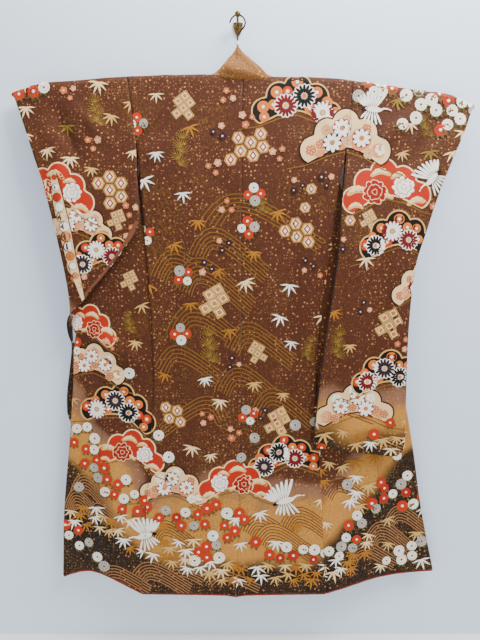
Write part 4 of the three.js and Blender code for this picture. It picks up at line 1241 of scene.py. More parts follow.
CRANES = records(
    "on x z size turn flip",
    ("sleeve_right", 398, -236, 62, -8, 1), ("sleeve_right", 572, -438, 62, 48, -1),
    ("back front_left", -300, -1552, 72, 18, -1), ("back", 150, -1432, 74, 14, 1),
)

# Zones that small motifs fill: their corners, their spacing, and what grows there.
ZONES = records(
    "on left right top bottom gap kinds seed",
    ("sleeve_right", 330, 700, -165, -300, 44, "white white white red pompon_lilac leaf_olive", 3),
    ("sleeve_right", 350, 690, -290, -400, 66, "leaf_cream leaf_sand leaf_olive leaf_cream", 4),
    ("sleeve_right", 250, 600, -480, -960, 88, "leaf_cream leaf_sand peach purple peach leaf_ochre", 5),
    ("sleeve_right", 230, 530, -1160, -1225, 50, "leaf_cream white leaf_sand orange leaf_cream", 6),
    ("sleeve_right", 230, 530, -1225, -1290, 46, "leaf_sand leaf_cream orange", 7),
    ("sleeve_left", -670, -300, -165, -420, 70,
     "leaf_cream leaf_olive peach purple leaf_sand peach leaf_cream", 8),
    ("sleeve_left", -600, -300, -420, -800, 70, "peach leaf_cream purple red leaf_sand", 9),
    ("back", -300, 310, -190, -700, 84, "leaf_white peach purple leaf_ochre posy leaf_sand leaf_cream", 10),
    ("back", -270, 270, -700, -1150, 84, "peach leaf_sand purple posy leaf_white leaf_cream leaf_ochre", 11),
    ("back", -270, 270, -1150, -1330, 60, "posy orange white lilac leaf_cream peach", 12),
    ("back", -290, 270, -1400, -1640, 78, "leaf_cream leaf_white leaf_ochre", 13),
    ("front_left", -560, -280, -820, -1180, 66, "posy orange white lilac peach leaf_sand", 15),
    ("front_left", -570, -290, -1180, -1400, 74, "lilac leaf_cream white leaf_ochre", 16),
    ("front_right", 240, 650, -1180, -1400, 66, "leaf_cream leaf_white leaf_ochre white lilac orange", 18),
    ("front_right", 250, 640, -1400, -1680, 76, "leaf_cream leaf_white leaf_sand leaf_ochre", 20),
)
# Garlands: bands along a line, filled more closely than a zone.
FLOWERS = "orange white red white orange lilac white orange"
LEAVES = "leaf_white leaf_cream leaf_ochre leaf_sand leaf_white leaf_ochre"
GARLANDS = records(
    "on wide gap kinds seed line",
    ("front_left", 34, 30, FLOWERS, 51,
     ((-452, -1180), (-425, -1272), (-408, -1371), (-363, -1431), (-283, -1438))),
    ("front_left", 20, 36, FLOWERS, 52, ((-530, -1190), (-500, -1250), (-470, -1330))),
    ("back", 46, 30, FLOWERS, 53, ((-255, -1440), (-160, -1482), (-90, -1430), (-4, -1445))),
    ("back", 36, 31, FLOWERS, 54, ((-10, -1450), (-30, -1549), (-115, -1620))),
    ("back", 24, 31, FLOWERS, 55, ((60, -1590), (130, -1612), (200, -1606), (280, -1612))),
    ("front_right", 22, 31, FLOWERS, 56, ((290, -1610), (340, -1600), (372, -1530), (430, -1440))),
    ("front_right", 30, 31, FLOWERS, 57, ((430, -1440), (500, -1420), (590, -1460))),
    ("front_right", 22, 33, FLOWERS, 58, ((500, -1640), (594, -1607), (630, -1570))),
    ("front_left", 24, 32, FLOWERS, 59, ((-570, -1545), (-522, -1580), (-477, -1607), (-436, -1642))),
    ("front_left", 36, 27, LEAVES, 61, ((-514, -1489), (-460, -1520), (-364, -1543), (-300, -1580))),
    ("back", 36, 27, LEAVES, 62, ((-300, -1585), (-204, -1615), (-120, -1650), (-26, -1685))),
    ("back", 30, 27, LEAVES, 63, ((-26, -1685), (71, -1677), (168, -1690), (281, -1680))),
    ("front_right", 30, 27, LEAVES, 64, ((290, -1680), (345, -1650), (400, -1600))),
    ("front_right", 34, 40, "leaf_ochre leaf_white leaf_umber leaf_sand", 65,
     ((250, -1350), (330, -1345), (400, -1400), (360, -1450))),
    ("sleeve_right", 20, 36, LEAVES, 66,
     ((250, -1205), (285, -1212), (362, -1222), (415, -1232), (490, -1250))),
    ("sleeve_right", 15, 27, "white white orange white red lilac", 67,
     ((390, -172), (470, -186), (560, -198), (640, -212), (690, -226))),
    ("sleeve_right", 24, 31, "white orange white red white", 68, ((520, -215), (580, -240), (640, -262))),
    ("sleeve_left", 10, 26, "orange white orange", 69, ((-652, -194), (-610, -181), (-562, -172))),
)
REAR_ZONES = records(
    "on left right top bottom gap kinds seed",
    ("sleeve_right", 250, 700, -165, -420, 62, "white red leaf_cream leaf_sand peach", 31),
    ("sleeve_right", 230, 600, -420, -1150, 84, "leaf_cream peach purple leaf_sand orange", 32),
    ("sleeve_right", 230, 530, -1150, -1290, 46, "leaf_cream white orange leaf_sand", 33),
    ("sleeve_left", -670, -290, -165, -420, 62, "leaf_cream red white leaf_olive peach", 34),
    ("sleeve_left", -600, -290, -420, -1000, 80, "peach leaf_cream purple red leaf_sand", 35),
    ("sleeve_left", -560, -310, -1000, -1230, 48, "white orange leaf_cream lilac", 36),
    ("front_left", -330, -80, -150, -800, 84, "leaf_cream peach purple leaf_sand", 37),
    ("front_left", -500, -200, -400, -850, 84, "peach leaf_sand red leaf_cream", 38),
    ("front_right", 100, 340, -150, -500, 84, "leaf_cream peach purple leaf_sand", 39),
    ("front_right", 200, 500, -400, -850, 84, "peach leaf_sand red leaf_cream", 40),
    ("collar", -480, 460, -60, -900, 78, "leaf_sand peach leaf_cream", 41),
)
REAR_CLOUDS = records(
    "on x z width turn kind",
    ("sleeve_right", 470, -330, 240, 4, "black"), ("sleeve_right", 400, -560, 240, -6, "red"),
    ("sleeve_right", 390, -820, 230, 5, "cream"), ("sleeve_right", 370, -1080, 235, -3, "black"),
    ("sleeve_left", -450, -320, 240, 6, "cream"), ("sleeve_left", -440, -540, 220, -6, "red"),
    ("sleeve_left", -450, -1120, 220, 4, "black"), ("front_left", -260, -330, 150, 10, "cream"),
    ("front_right", 250, -330, 150, -10, "red"),
)


# How far the flowers of a group stand from its middle.
BLOSSOM_REACH = 17
POSY_REACH = 19


def small_motif(drawing, kind, x, z, draw):
    """One of the small flowers or sprays that fill a zone."""
    turn = draw.uniform(0, 360)
    if kind.startswith("leaf_"):
        size, lean = draw.uniform(30, 42), draw.uniform(-25, 25)
        bamboo(drawing, x, z + 12, size, lean, kind.removeprefix("leaf_"), 2, draw.choice((5, 6, 6)))
    elif kind in ("peach", "purple"):
        for k in range(3):
            a = math.radians(turn + 120 * k)
            r = draw.uniform(8, 12)
            px, pz = x + BLOSSOM_REACH * math.cos(a), z + BLOSSOM_REACH * math.sin(a)
            blossom(drawing, px, pz, r, turn, kind if k else "pink")
    elif kind == "posy":
        for k, name in enumerate(("orange", "white", "orange", "lilac")):
            a = math.radians(turn + 90 * k)
            r = draw.uniform(13, 17)
            heart = "tan" if k % 2 else "white"
            px, pz = x + POSY_REACH * math.cos(a), z + POSY_REACH * math.sin(a)
            pompon(drawing, px, pz, r, turn, name, heart, 2.6 + 0.9 * (k % 2))
    else:
        name = kind.removeprefix("pompon_")
        heart = "white" if name in ("orange", "red") else "tan"
        pompon(drawing, x, z, draw.uniform(15, 20), turn, name, heart, 2.6)


def folded_edge(drawing):
    """The pale strip where the left sleeve's outer side is folded over, and its plain turned edge in a
    lighter tan that is partly a painted highlight where the rolled edge catches the light.
    """
    strip = table("x z wide", (-541, -425, 16), (-530, -499, 30), (-512, -587, 34), (-496, -669, 28),
                  (-480, -735, 20), (-465, -798, 8))
    place = np.linspace(-425, -798, 40)
    path = np.stack([along(strip, "z", "x", place), place], axis=1)
    wide = along(strip, "z", "wide", place)
    drawing.ribbon(path + (1.5, 0), wide + 3, "umber", 13)
    drawing.ribbon(path, wide, "cream", 14)
    draw = random.Random(77)
    names = "orange white red white cream white blush white amber white blush cream".split()
    for i, name in zip(range(1, 38, 3), names):
        reach = 0.46 * wide[i]
        for share, dye_name, layer in ((1, "umber", 15), (0.9, name, 15.4)):
            x = path[i][0] + draw.uniform(-0.15, 0.15) * reach
            disc(drawing, x, path[i][1], share * reach, dye_name, layer + 0.1 * i, 16)
    # The turned edge's lighter tan is partly painted highlight, for the light on the rolled edge.
    hem = np.array([(-296, -562), (-344, -646), (-406, -726), (-468, -792)], float)
    drawing.ribbon(hem, 15, "tan", 13)


# How many places are tried for each motif that would fit in a zone or on a garland.
ZONE_TRIES = 9
GARLAND_TRIES = 14


def is_clear(x, z, placed, gap, taken, share):
    """Whether a place keeps its distance from the motifs placed so far and from the places already taken."""
    if any(math.hypot(x - p, z - q) < gap for p, q in placed):
        return False
    return not any(math.hypot((x - p) / rx, (z - q) / rz) < share for p, q, rx, rz in taken)


def fill_zone(drawing, zone, taken):
    """Scatters a zone's motifs about one gap apart, clear of the places already taken."""
    draw = random.Random(zone["seed"])
    kinds = zone["kinds"].split()
    area = (zone["right"] - zone["left"]) * (zone["top"] - zone["bottom"])
    tries = int(ZONE_TRIES * area / zone["gap"] ** 2)
    placed = []
    for _ in range(tries):
        x = draw.uniform(zone["left"], zone["right"])
        z = draw.uniform(zone["bottom"], zone["top"])
        if is_clear(x, z, placed, zone["gap"], taken, 1):
            placed.append((x, z))
            small_motif(drawing, draw.choice(kinds), x, z, draw)


def fill_garland(drawing, garland, taken):
    """Scatters a garland's motifs along its line."""
    draw = random.Random(garland["seed"])
    kinds = garland["kinds"].split()
    line = np.array(garland["line"], float)
    lengths = np.concatenate([[0], np.cumsum(np.hypot(*np.diff(line, axis=0).T))])
    placed = []
    for _ in range(int(GARLAND_TRIES * lengths[-1] / garland["gap"])):
        where = draw.uniform(0, lengths[-1])
        x, z = (np.interp(where, lengths, line[:, i]) + draw.uniform(-1, 1) * garland["wide"] for i in (0, 1))
        if is_clear(x, z, placed, garland["gap"], taken, 0.94):
            placed.append((x, z))
            small_motif(drawing, draw.choice(kinds), x, z, draw)
    return [(x, z, 0.8 * garland["gap"], 0.8 * garland["gap"]) for x, z in placed]


# How many layers every second cloud lies above the others, and the small motifs above the ground.
CLOUD_LIFT = 8
UPPER_LIFT = 16


def standing(items, part):
    """The rows that stand on one part of the garment, without the name of the part."""
    here = [item for item in items if part in item["on"].split()]
    return [{key: value for key, value in item.items() if key != "on"} for item in here]


def draw_part(part, front):
    """All the motifs of one part of the garment, on its viewer's side or its wall side."""
    drawing = Drawing()
    taken = []
    for i, item in enumerate(CLOUDS if front else REAR_CLOUDS):
        drawing.lift = CLOUD_LIFT * (i % 2)
        for row in standing([item], part):
            cloud(drawing, **row, seed=100 + i)
            taken.append((row["x"], row["z"] - 8, 0.55 * row["width"], 0.36 * row["width"]))
    drawing.lift = 0
    if front:
        for row in standing(SHELLS, part):
            tortoiseshell(drawing, **row)
            taken.append((row["x"] + 10, row["z"], 3.4 * row["r"], 3.4 * row["r"]))
        for row in standing(LATTICES, part):
            lattice(drawing, **row)
            taken.append((row["x"], row["z"], 2 * row["size"], 2 * row["size"]))
        for i, item in enumerate(HILLS):
            for row in standing([item], part):
                hills(drawing, row, HILLS[i + 1:])
        for row in standing(PINES, part):
            pine(drawing, **row)
            taken.append((row["x"], row["z"], row["size"] * 0.6, row["size"]))
        drawing.lift = UPPER_LIFT
        for row in standing(CRANES, part):
            crane(drawing, **row)
            taken.append((row["x"], row["z"], row["size"], row["size"] * 0.8))
        for garland in standing(GARLANDS, part):
            taken += fill_garland(drawing, garland, taken)
        if part == "sleeve_left":
            folded_edge(drawing)
    drawing.lift = UPPER_LIFT
    for zone in standing(ZONES if front else REAR_ZONES, part):
        fill_zone(drawing, zone, taken)
    return drawing


def printed_faces(pieces, toward):
    """The printed faces of some shells that look against a direction, for casting rays on."""
    vertices, faces = [], []
    for piece in pieces:
        start = len(vertices)
        vertices += [v.co for v in piece.data.vertices]
        for polygon in piece.data.polygons[:piece["outer_faces"]]:
            if polygon.normal.y * toward < -0.05:
                faces.append([start + v for v in polygon.vertices])
    return BVHTree.FromPolygons(vertices, faces)


# A triangle whose corners land further apart in depth than this, in millimetres, is cut up or left out.
STEP_LIMIT = 5.0
CUTS = 2
RAY_LENGTH = 2.0


def lay(name, drawing, pieces, toward):
    """Lays a drawing on shells along the Y axis: toward is 1 on the viewer's side, -1 on the wall's."""
    tree = printed_faces(pieces, toward)
    flat = np.concatenate(drawing.points)
    found = {}

    def land(x, z):
        key = (round(x, 3), round(z, 3))
        if key not in found:
            hit = tree.ray_cast(Vector((x * MM, -toward, z * MM)), Vector((0, toward, 0)), RAY_LENGTH)
            found[key] = hit[:2] if hit[0] is not None else None
        return found[key]

    vertices, triangles, dyes, index = [], [], [], {}

    def vertex(x, z, layer):
        key = (round(x, 3), round(z, 3), layer)
        if key not in index:
            place, square = land(x, z)
            if square.y * toward > 0:
                square = -square
            index[key] = len(vertices)
            vertices.append(place + square * (FIRST_LAYER + LAYER * layer) * MM)
        return index[key]

    def put(corners, layer, dye_name, depth):
        hits = [land(*c) for c in corners]
        missing = sum(h is None for h in hits)
        if missing == 3:
            return
        deep = [h[0].y for h in hits if h]
        if missing or (max(deep) - min(deep)) > STEP_LIMIT * MM:
            if depth == 0:
                return
            a, b, c = corners
            ab, bc, ca = (((p[0] + q[0]) / 2, (p[1] + q[1]) / 2) for p, q in ((a, b), (b, c), (c, a)))
            for smaller in ((a, ab, ca), (ab, b, bc), (ca, bc, c), (ab, bc, ca)):
                put(smaller, layer, dye_name, depth - 1)
            return
        ids = [vertex(*c, layer) for c in corners]
        if len(set(ids)) == 3:
            triangles.append(ids)
            dyes.append(dye_name)

    all_triangles = np.concatenate(drawing.triangles)
    for corner_ids, dye_name in zip(all_triangles, drawing.dyes):
        put([tuple(flat[i]) for i in corner_ids], drawing.layers[corner_ids[0]], dye_name, CUTS)
    names = sorted(set(dyes))
    mesh = bpy.data.meshes.new(name)
    mesh.from_pydata(vertices, [], triangles)
    for dye_name in names:
        mesh.materials.append(dye(dye_name))
    mesh.polygons.foreach_set("material_index", [names.index(d) for d in dyes])
    mesh.update()
    return settle(new_object(name, mesh), None)


# ---- the pieces ----

PART_PIECES = {
    "back": ("back_left_silk", "back_right_silk"),
    "front_left": ("front_left_silk", "okumi_left_silk"),
    "front_right": ("front_right_silk", "okumi_right_silk"),
    "sleeve_left": ("sleeve_left_outer_silk", "sleeve_left_inner_silk"),
    "sleeve_right": ("sleeve_right_outer_silk", "sleeve_right_inner_silk"),
    "collar": ("collar_silk",),
}


# Where the lining changes from its upper to its lower dye, in metres.
LINING_CHANGE = (-1.098, -1.102)


def lining(sleeve=False):
    """The lining: white silk above and rust red below, or the sleeves' dark slate grey, which is partly
    painted shade for the dark openings beside the sleeves.
    """
    name = "silk_lining_sleeve_painted_shade" if sleeve else "silk_lining"
    if name in bpy.data.materials:
        return bpy.data.materials[name]
    dyes = bpy.context.scene.furisode_dyes
    material, n, shader = start_material(name)
    place = n.place()
    height = n.add("ShaderNodeSeparateXYZ", Vector=place).outputs["Z"]
    # The sleeves' lining is dark slate: painted shade standing in for the deep shade in the openings beside
    # the sleeves.
    upper, lower = (dyes.sleeve_lining_shade, dyes.sleeve_lining_shade) if sleeve else (dyes.lining, dyes.rust)
    mixed = n.blend(n.ramp(height, *LINING_CHANGE), (*upper, 1), (*lower, 1))
    finish_cloth(n, shader, mixed, LINING_GRAIN, 0.0004, 0.1)
    return material


class FurisodeDyes(bpy.types.PropertyGroup):
    """The dyes of the silk."""

    brown: bpy.props.FloatVectorProperty(
        name="Brown", description="Upper ground of the silk", subtype="COLOR",
        default=colour((72, 33, 18))[:3])
    ochre: bpy.props.FloatVectorProperty(
        name="Ochre", description="Middle ground, above the hem", subtype="COLOR",
        default=colour((188, 130, 58))[:3])
    dark: bpy.props.FloatVectorProperty(
        name="Dark", description="Ground along the hem", subtype="COLOR", default=colour((26, 16, 11))[:3])
    fleck: bpy.props.FloatVectorProperty(
        name="Fleck", description="Small gold and pink flecks", subtype="COLOR",
        default=colour((204, 142, 90))[:3])
    mist: bpy.props.FloatVectorProperty(
        name="Mist", description="Mist where the grounds meet", subtype="COLOR",
        default=colour((128, 92, 82))[:3])
    dust: bpy.props.FloatVectorProperty(
        name="Dust", description="Sprinkled gold dust", subtype="COLOR", default=colour((112, 78, 26))[:3])
    rust: bpy.props.FloatVectorProperty(
        name="Rust", description="Hem roll and lower lining", subtype="COLOR",
        default=colour((140, 40, 18))[:3])
    lining: bpy.props.FloatVectorProperty(
        name="Lining", description="Upper lining", subtype="COLOR", default=colour((232, 226, 212))[:3])
    # Sleeve lining: a dark slate grey that is partly painted shade, for the shade in the openings beside the
    # sleeves.
    sleeve_lining_shade: bpy.props.FloatVectorProperty(
        name="Slate", description="Lining of the sleeves", subtype="COLOR", default=colour((40, 41, 44))[:3])


class FurisodeCloth(bpy.types.PropertyGroup):
    """The weight and fineness of the cloth."""

    thickness: bpy.props.FloatProperty(
        name="Thickness", description="Silk and lining together", default=1.2 * MM, min=0.5 * MM, max=2 * MM,
        unit="LENGTH")
    step: bpy.props.FloatProperty(
        name="Step", description="Spacing of the shell's rows and columns", default=9 * MM, min=3 * MM,
        max=30 * MM, unit="LENGTH")
    ripple: bpy.props.FloatProperty(
        name="Ripple", description="How uneven the hanging silk is", default=1.0, min=0, max=2)


class FurisodeStage(bpy.types.PropertyGroup):
    """The light and the room."""

    wall: bpy.props.FloatVectorProperty(
        name="Wall", description="Colour of the wall", subtype="COLOR", default=(0.74, 0.86, 1.0))
    floor: bpy.props.FloatVectorProperty(
        name="Floor", description="Colour of the floor", subtype="COLOR", default=(0.8, 0.78, 0.75))
    light: bpy.props.FloatProperty(
        name="Light", description="Power of the large soft lamp", default=132.0, min=0, unit="POWER")
    lens: bpy.props.FloatProperty(
        name="Lens", description="Focal length of the camera", default=26.0, min=10, max=200, unit="CAMERA")


def sizes():
    cloth = bpy.context.scene.furisode_cloth
    return cloth.thickness / MM, cloth.step / MM, cloth.ripple


class BuildBack(bpy.types.Operator):
    """Make the two back panels."""

    bl_idname = "furisode.back"
    bl_label = "Back panels"

    def execute(self, context):
        thick, step, grain = sizes()
        gap = SEAM / 2 / (BACK["right"][0] - BACK["centre"][0])
        for name, side in SIDES.items():
            neck = np.linspace(gap, NECK_SHARE, 14)
            columns = np.concatenate([neck[:-1], even(NECK_SHARE, 1, step / PANEL_WIDTH)])
            columns = -columns[::-1] if side == LEFT else columns
            point = lambda u, h, s=side: back_point(s, np.abs(u), h)
            piece = shell(
                f"back_{name}_silk", columns, cloth_rows(0, BODY_LENGTH, step), point,
                facing(point, columns, BODY_LENGTH), -1, (printed_silk("silk_body"), lining()), thick, grain)
            settle(piece, f"back_{name}")
        return {"FINISHED"}


class BuildFronts(bpy.types.Operator):
    """Make the fronts and the overlap panels."""

    bl_idname = "furisode.fronts"
    bl_label = "Fronts and overlap panels"

    def execute(self, context):
        thick, step, grain = sizes()
        for name, side in SIDES.items():
            whole = (-1, 0) if side == LEFT else (0, 1)
            share = {
                "front": lambda t, h: np.abs(t) * (okumi_seam(h) - 0.0004),
                "okumi": lambda t, h: mix(okumi_seam(h) + 0.0004, 1, np.abs(t)),
            }
            square = lambda s, h, side=side, whole=whole: square_to(
                lambda a, b: front_point(side, np.abs(a), b), side * s, h, whole, (0, BODY_LENGTH))
            for part, rows, width, cut in (
                ("front", cloth_rows(0, BODY_LENGTH, step), 260, (0.245, 1.63)),
                ("okumi", even(OKUMI_START, BODY_LENGTH, step), 150, (0.15, 1.36)),
            ):
                columns = even(*whole, step / width)
                piece = shell(
                    f"{part}_{name}_silk", columns, rows,
                    lambda t, h, s=side, f=share[part]: front_point(s, f(t, h), h),
                    lambda t, h, q=square, f=share[part]: q(f(t, h), h),
                    -1, (printed_silk("silk_body"), lining()), thick, grain)
                settle(piece, f"{part}_{name}")
        return {"FINISHED"}


class BuildSleeves(bpy.types.Operator):
    """Make both layers of both sleeves."""

    bl_idname = "furisode.sleeves"
    bl_label = "Sleeves"

    def execute(self, context):
        thick, step, grain = sizes()
        for name, side in SIDES.items():
            for face, layer in ((-1, "outer"), (1, "inner")):
                sewn = np.linspace(0, SEWN_SHARE, 8)[:-1]
                columns = np.concatenate([sewn, even(SEWN_SHARE, 1, step / PANEL_WIDTH)])
                columns = -columns[::-1] if side == face else columns
                point = lambda u, h, s=side, f=face: sleeve_point(s, f, np.abs(u), h)
                square = facing(point, columns, SLEEVE_LENGTH)
                rows = cloth_rows(0, SLEEVE_LENGTH - 60, step)
                rows = np.concatenate([rows, even(SLEEVE_LENGTH - 56, SLEEVE_LENGTH, 4)])
                probe = square(np.array([columns[3]]), np.array([150.0]))
                printed = int(np.sign(probe[0, 1] * face))
                # The sleeves' lining finish is dark slate, partly painted shade for the openings beside the
                # sleeves.
                finishes = (printed_silk("silk_sleeve_" + name), lining(True))
                piece = shell(
                    f"sleeve_{name}_{layer}_silk", columns, rows, point, square, printed, finishes, thick,
                    0.6 * grain)
                settle(piece, f"sleeve_{name}_{layer}")
        return {"FINISHED"}


# How much ochre the collar's brown has, which lightens it as a painted highlight for the light on the collar,
# and how much brown the hem roll's rust has.
COLLAR_HIGHLIGHT_OCHRE = 0.3
ROLL_BROWN = 0.45


class BuildCollar(bpy.types.Operator):
    """Make the collar."""

    bl_idname = "furisode.collar"
    bl_label = "Collar"

    def execute(self, context):
        thick, step, grain = sizes()
        half = np.concatenate([np.linspace(0, 1, 22), 1 + cloth_rows(0, COLLAR_END, step)[1:] / COLLAR_END])
        rows = np.concatenate([-half[:0:-1], half])
        columns = np.linspace(-1, 0, 13)
        point = lambda w, s: collar_point(-w, s)

        def square(w, s):
            grid = point(w, s)
            return unit(np.cross(np.gradient(grid, axis=1), np.gradient(grid, axis=0)))

        silk = printed_silk("silk_collar_painted_highlight")
        dyes = context.scene.furisode_dyes
        # The collar's brown is lightened with ochre and its dust is brightened to the fleck colour. This is
        # partly the collar's own gold dust and partly a painted highlight for the light that falls on the
        # collar.
        brown = mix(np.array(dyes.brown), np.array(dyes.ochre), COLLAR_HIGHLIGHT_OCHRE)
        for node in silk.node_tree.nodes:
            if node.type == "GROUP" and "Dust" in node.inputs:
                node.inputs["Dust"].default_value = (*dyes.fleck, 1)
                node.inputs["Brown"].default_value = (*brown, 1)
        piece = shell("collar_silk", columns, rows, point, square, -1, (silk, silk), thick, 0.5 * grain)
        settle(piece, "collar")
        return {"FINISHED"}


def tube(name, path, radius, sides, finish):
    """A round tube along a path in millimetres, with closed ends."""
    path = np.asarray(path, float)
    run = unit(np.gradient(path, axis=0))
    up = np.array([0.0, -1.0, 0.05])
    first = unit(np.cross(run, up))
    second = np.cross(first, run)
    turn = np.linspace(0, 2 * math.pi, sides, endpoint=False)
    radius = np.asarray(radius, float) * np.ones(len(path))
    rings = path[:, None] + radius[:, None, None] * (
        np.cos(turn)[None, :, None] * first[:, None] + np.sin(turn)[None, :, None] * second[:, None])
    n = len(path)
    faces = []
    for low in range(0, (n - 1) * sides, sides):
        for i in range(sides):
            k = (i + 1) % sides
            faces.append((low + i, low + k, low + sides + k, low + sides + i))
    faces += [tuple(range(sides - 1, -1, -1)), tuple((n - 1) * sides + i for i in range(sides))]
    mesh = bpy.data.meshes.new(name)
    mesh.from_pydata((rings.reshape(-1, 3) * MM).tolist(), [], faces)
    mesh.materials.append(finish)
    mesh.polygons.foreach_set("use_smooth", [True] * (len(faces) - 2) + [False] * 2)
    mesh.update()
    return new_object(name, mesh)


def below_hem(point, shares):
    """The hem roll's path just below a hem: out in the cloth's surface, square to the hem."""
    length = np.full(len(shares), float(BODY_LENGTH))
    end = point(shares, length)
    down = end - point(shares, length - HEM_PROBE)
    edge = unit(point(np.minimum(shares + 0.01, 1), length) - point(np.maximum(shares - 0.01, 0), length))
    down = unit(down - edge * (down * edge).sum(-1, keepdims=True))
    return end + down * (HEM_ROLL + 2 * SEAM + 0.1)


# The share of a hem where its roll ends, short of the side edge, and where a front's roll begins.
ROLL_END = 0.995
FRONT_ROLL_START = 0.004
BACK_ROLL_POINTS = 45
FRONT_ROLL_POINTS = 52
ROLL_SIDES = 14
ROLL_SWELL = 0.06


class BuildHemRolls(bpy.types.Operator):
    """Make the padded red-brown rolls along the hem."""

    bl_idname = "furisode.hem_rolls"
    bl_label = "Hem rolls"

    def execute(self, context):
        dyes = context.scene.furisode_dyes
        material, n, shader = start_material("silk_hem_roll")
        roll = mix(np.array(dyes.rust), np.array(dyes.brown), ROLL_BROWN)
        finish_cloth(n, shader, (*roll, 1), LINING_GRAIN, 0.0004, 0.15)
        outward = np.linspace(0, ROLL_END, BACK_ROLL_POINTS)
        left = below_hem(lambda u, h: back_point(LEFT, u, h), np.linspace(ROLL_END, 0, BACK_ROLL_POINTS))
        right = below_hem(lambda u, h: back_point(RIGHT, u, h), outward[1:])
        paths = {"back": np.concatenate([left, right])}
        shares = np.linspace(FRONT_ROLL_START, ROLL_END, FRONT_ROLL_POINTS)
        for name, side in SIDES.items():
            paths[name] = below_hem(lambda u, h, s=side: front_point(s, u, h), shares)
        for name, path in paths.items():
            swell = HEM_ROLL * (1 + ROLL_SWELL * np.sin(np.arange(len(path)) * 0.9))
            piece = tube(f"hem_roll_{name}_silk", path, swell, ROLL_SIDES, material)
            settle(piece, f"hem_roll_{name}")
        return {"FINISHED"}


class PaintPattern(bpy.types.Operator):
    """Lay the dyed and gold-leaf motifs on the viewer's side and the wall's side of every part."""

    bl_idname = "furisode.pattern"
    bl_label = "Pattern"

    def execute(self, context):
        for part, names in PART_PIECES.items():
            pieces = [bpy.data.objects[name] for name in names]
            for front, word in ((True, "viewer"), (False, "wall")):
                chosen = pieces
                if part.startswith("sleeve"):
                    chosen = [p for p in pieces if ("outer" in p.name) == front]
                drawing = draw_part(part, front)
                if drawing.points:
                    lay(f"pattern_{part}_{word}", drawing, chosen, 1 if front else -1)
        return {"FINISHED"}


def moulded(name, rgb, roughness):
    """Moulded plastic with a faint mottle and fine scratches."""
    material, n, shader = start_material(name)
    place = n.place()
    cloud = n.noise(place, 30.0, 3.0)
    scratch = n.noise(place, 420.0, 2.0, 0.7)
    value = n.math("ADD", 0.93, n.math("MULTIPLY", cloud, 0.14))
    tone = n.add("ShaderNodeHueSaturation", Color=colour(rgb), Value=value)
    n.put(shader.inputs["Base Color"], tone.outputs["Color"])
    n.put(shader.inputs["Roughness"], n.math("ADD", roughness, n.math("MULTIPLY", scratch, 0.15)))
    bump = n.add("ShaderNodeBump", Height=scratch, Strength=0.1, Distance=0.0002)
    n.put(shader.inputs["Normal"], bump.outputs["Normal"])
    return material


def metal(name, rgb, roughness, wear, wear_size):
    """A metal with darker, duller patches."""
    material, n, shader = start_material(name)
    place = n.place()
    patch = n.ramp(n.noise(place, wear_size, 4.0, 0.6), 0.42, 0.62)
    n.put(shader.inputs["Base Color"], n.blend(patch, colour(rgb), colour(wear)))
    n.put(shader.inputs["Roughness"], n.math("ADD", roughness, n.math("MULTIPLY", patch, 0.22)))
    shader.inputs["Metallic"].default_value = 0.9
    bump = n.add("ShaderNodeBump", Height=n.noise(place, 900.0, 2.0), Strength=0.15, Distance=0.0002)
    n.put(shader.inputs["Normal"], bump.outputs["Normal"])
    return material


class FinishHanger(bpy.types.Operator):
    """Finish the hanger, its wire hook and the wall hook."""

    bl_idname = "furisode.hanger"
    bl_label = "Hanger and wall hook"

    def execute(self, context):
        finishes = {
            "hanger_plastic": moulded("hanger_plastic_finish", (214, 206, 190), 0.38),
            "ferrule_plastic": moulded("ferrule_plastic_finish", (232, 228, 218), 0.3),
            "hook_wire": metal("hook_wire_finish", (48, 32, 30), 0.38, (26, 18, 18), 90.0),
            "wall_hook_brass": metal("wall_hook_finish", (128, 104, 54), 0.38, (70, 52, 26), 120.0),
        }
        for entry in frame["record"]["subparts"]:
            if entry["material_slot"] in finishes:
                mesh = frame["nodes"][entry["node"]].data
                mesh.materials.clear()
                mesh.materials.append(finishes[entry["material_slot"]])
        return {"FINISHED"}


FLOOR_Z = -1.945
WALL_GAP = 0.001
ROOM_HALF, ROOM_TOP, ROOM_DEPTH = 4.0, 2.0, 4.0
ROOM_AIR = (0.86, 0.9, 0.96, 1)
AIR_STRENGTH = 0.66
CAMERA_PLACE = (0.006, -1.463, -0.709)
CAMERA_PITCH = 84.0
MIDDLE = (0, 0, -0.9)
WHITE = (1, 1, 1)
# Each lamp: its place, what it points at, its size, its share of the light's power, and its colour.
LAMPS = {
    "key": ((1.3, -1.0, 1.45), MIDDLE, (1.2, 0.9), 1, WHITE),
    "fill": ((-2.2, -2.2, 0.1), MIDDLE, (2.0, 2.0), 0.22, WHITE),
    "ridge": ((0, -0.22, 0.75), (0, -0.08, -0.15), (1.5, 0.25), 0.14, (1, 0.9, 0.8)),
    "rear": ((0.6, 2.6, 0.6), MIDDLE, (2.4, 2.0), 0.35, WHITE),
}


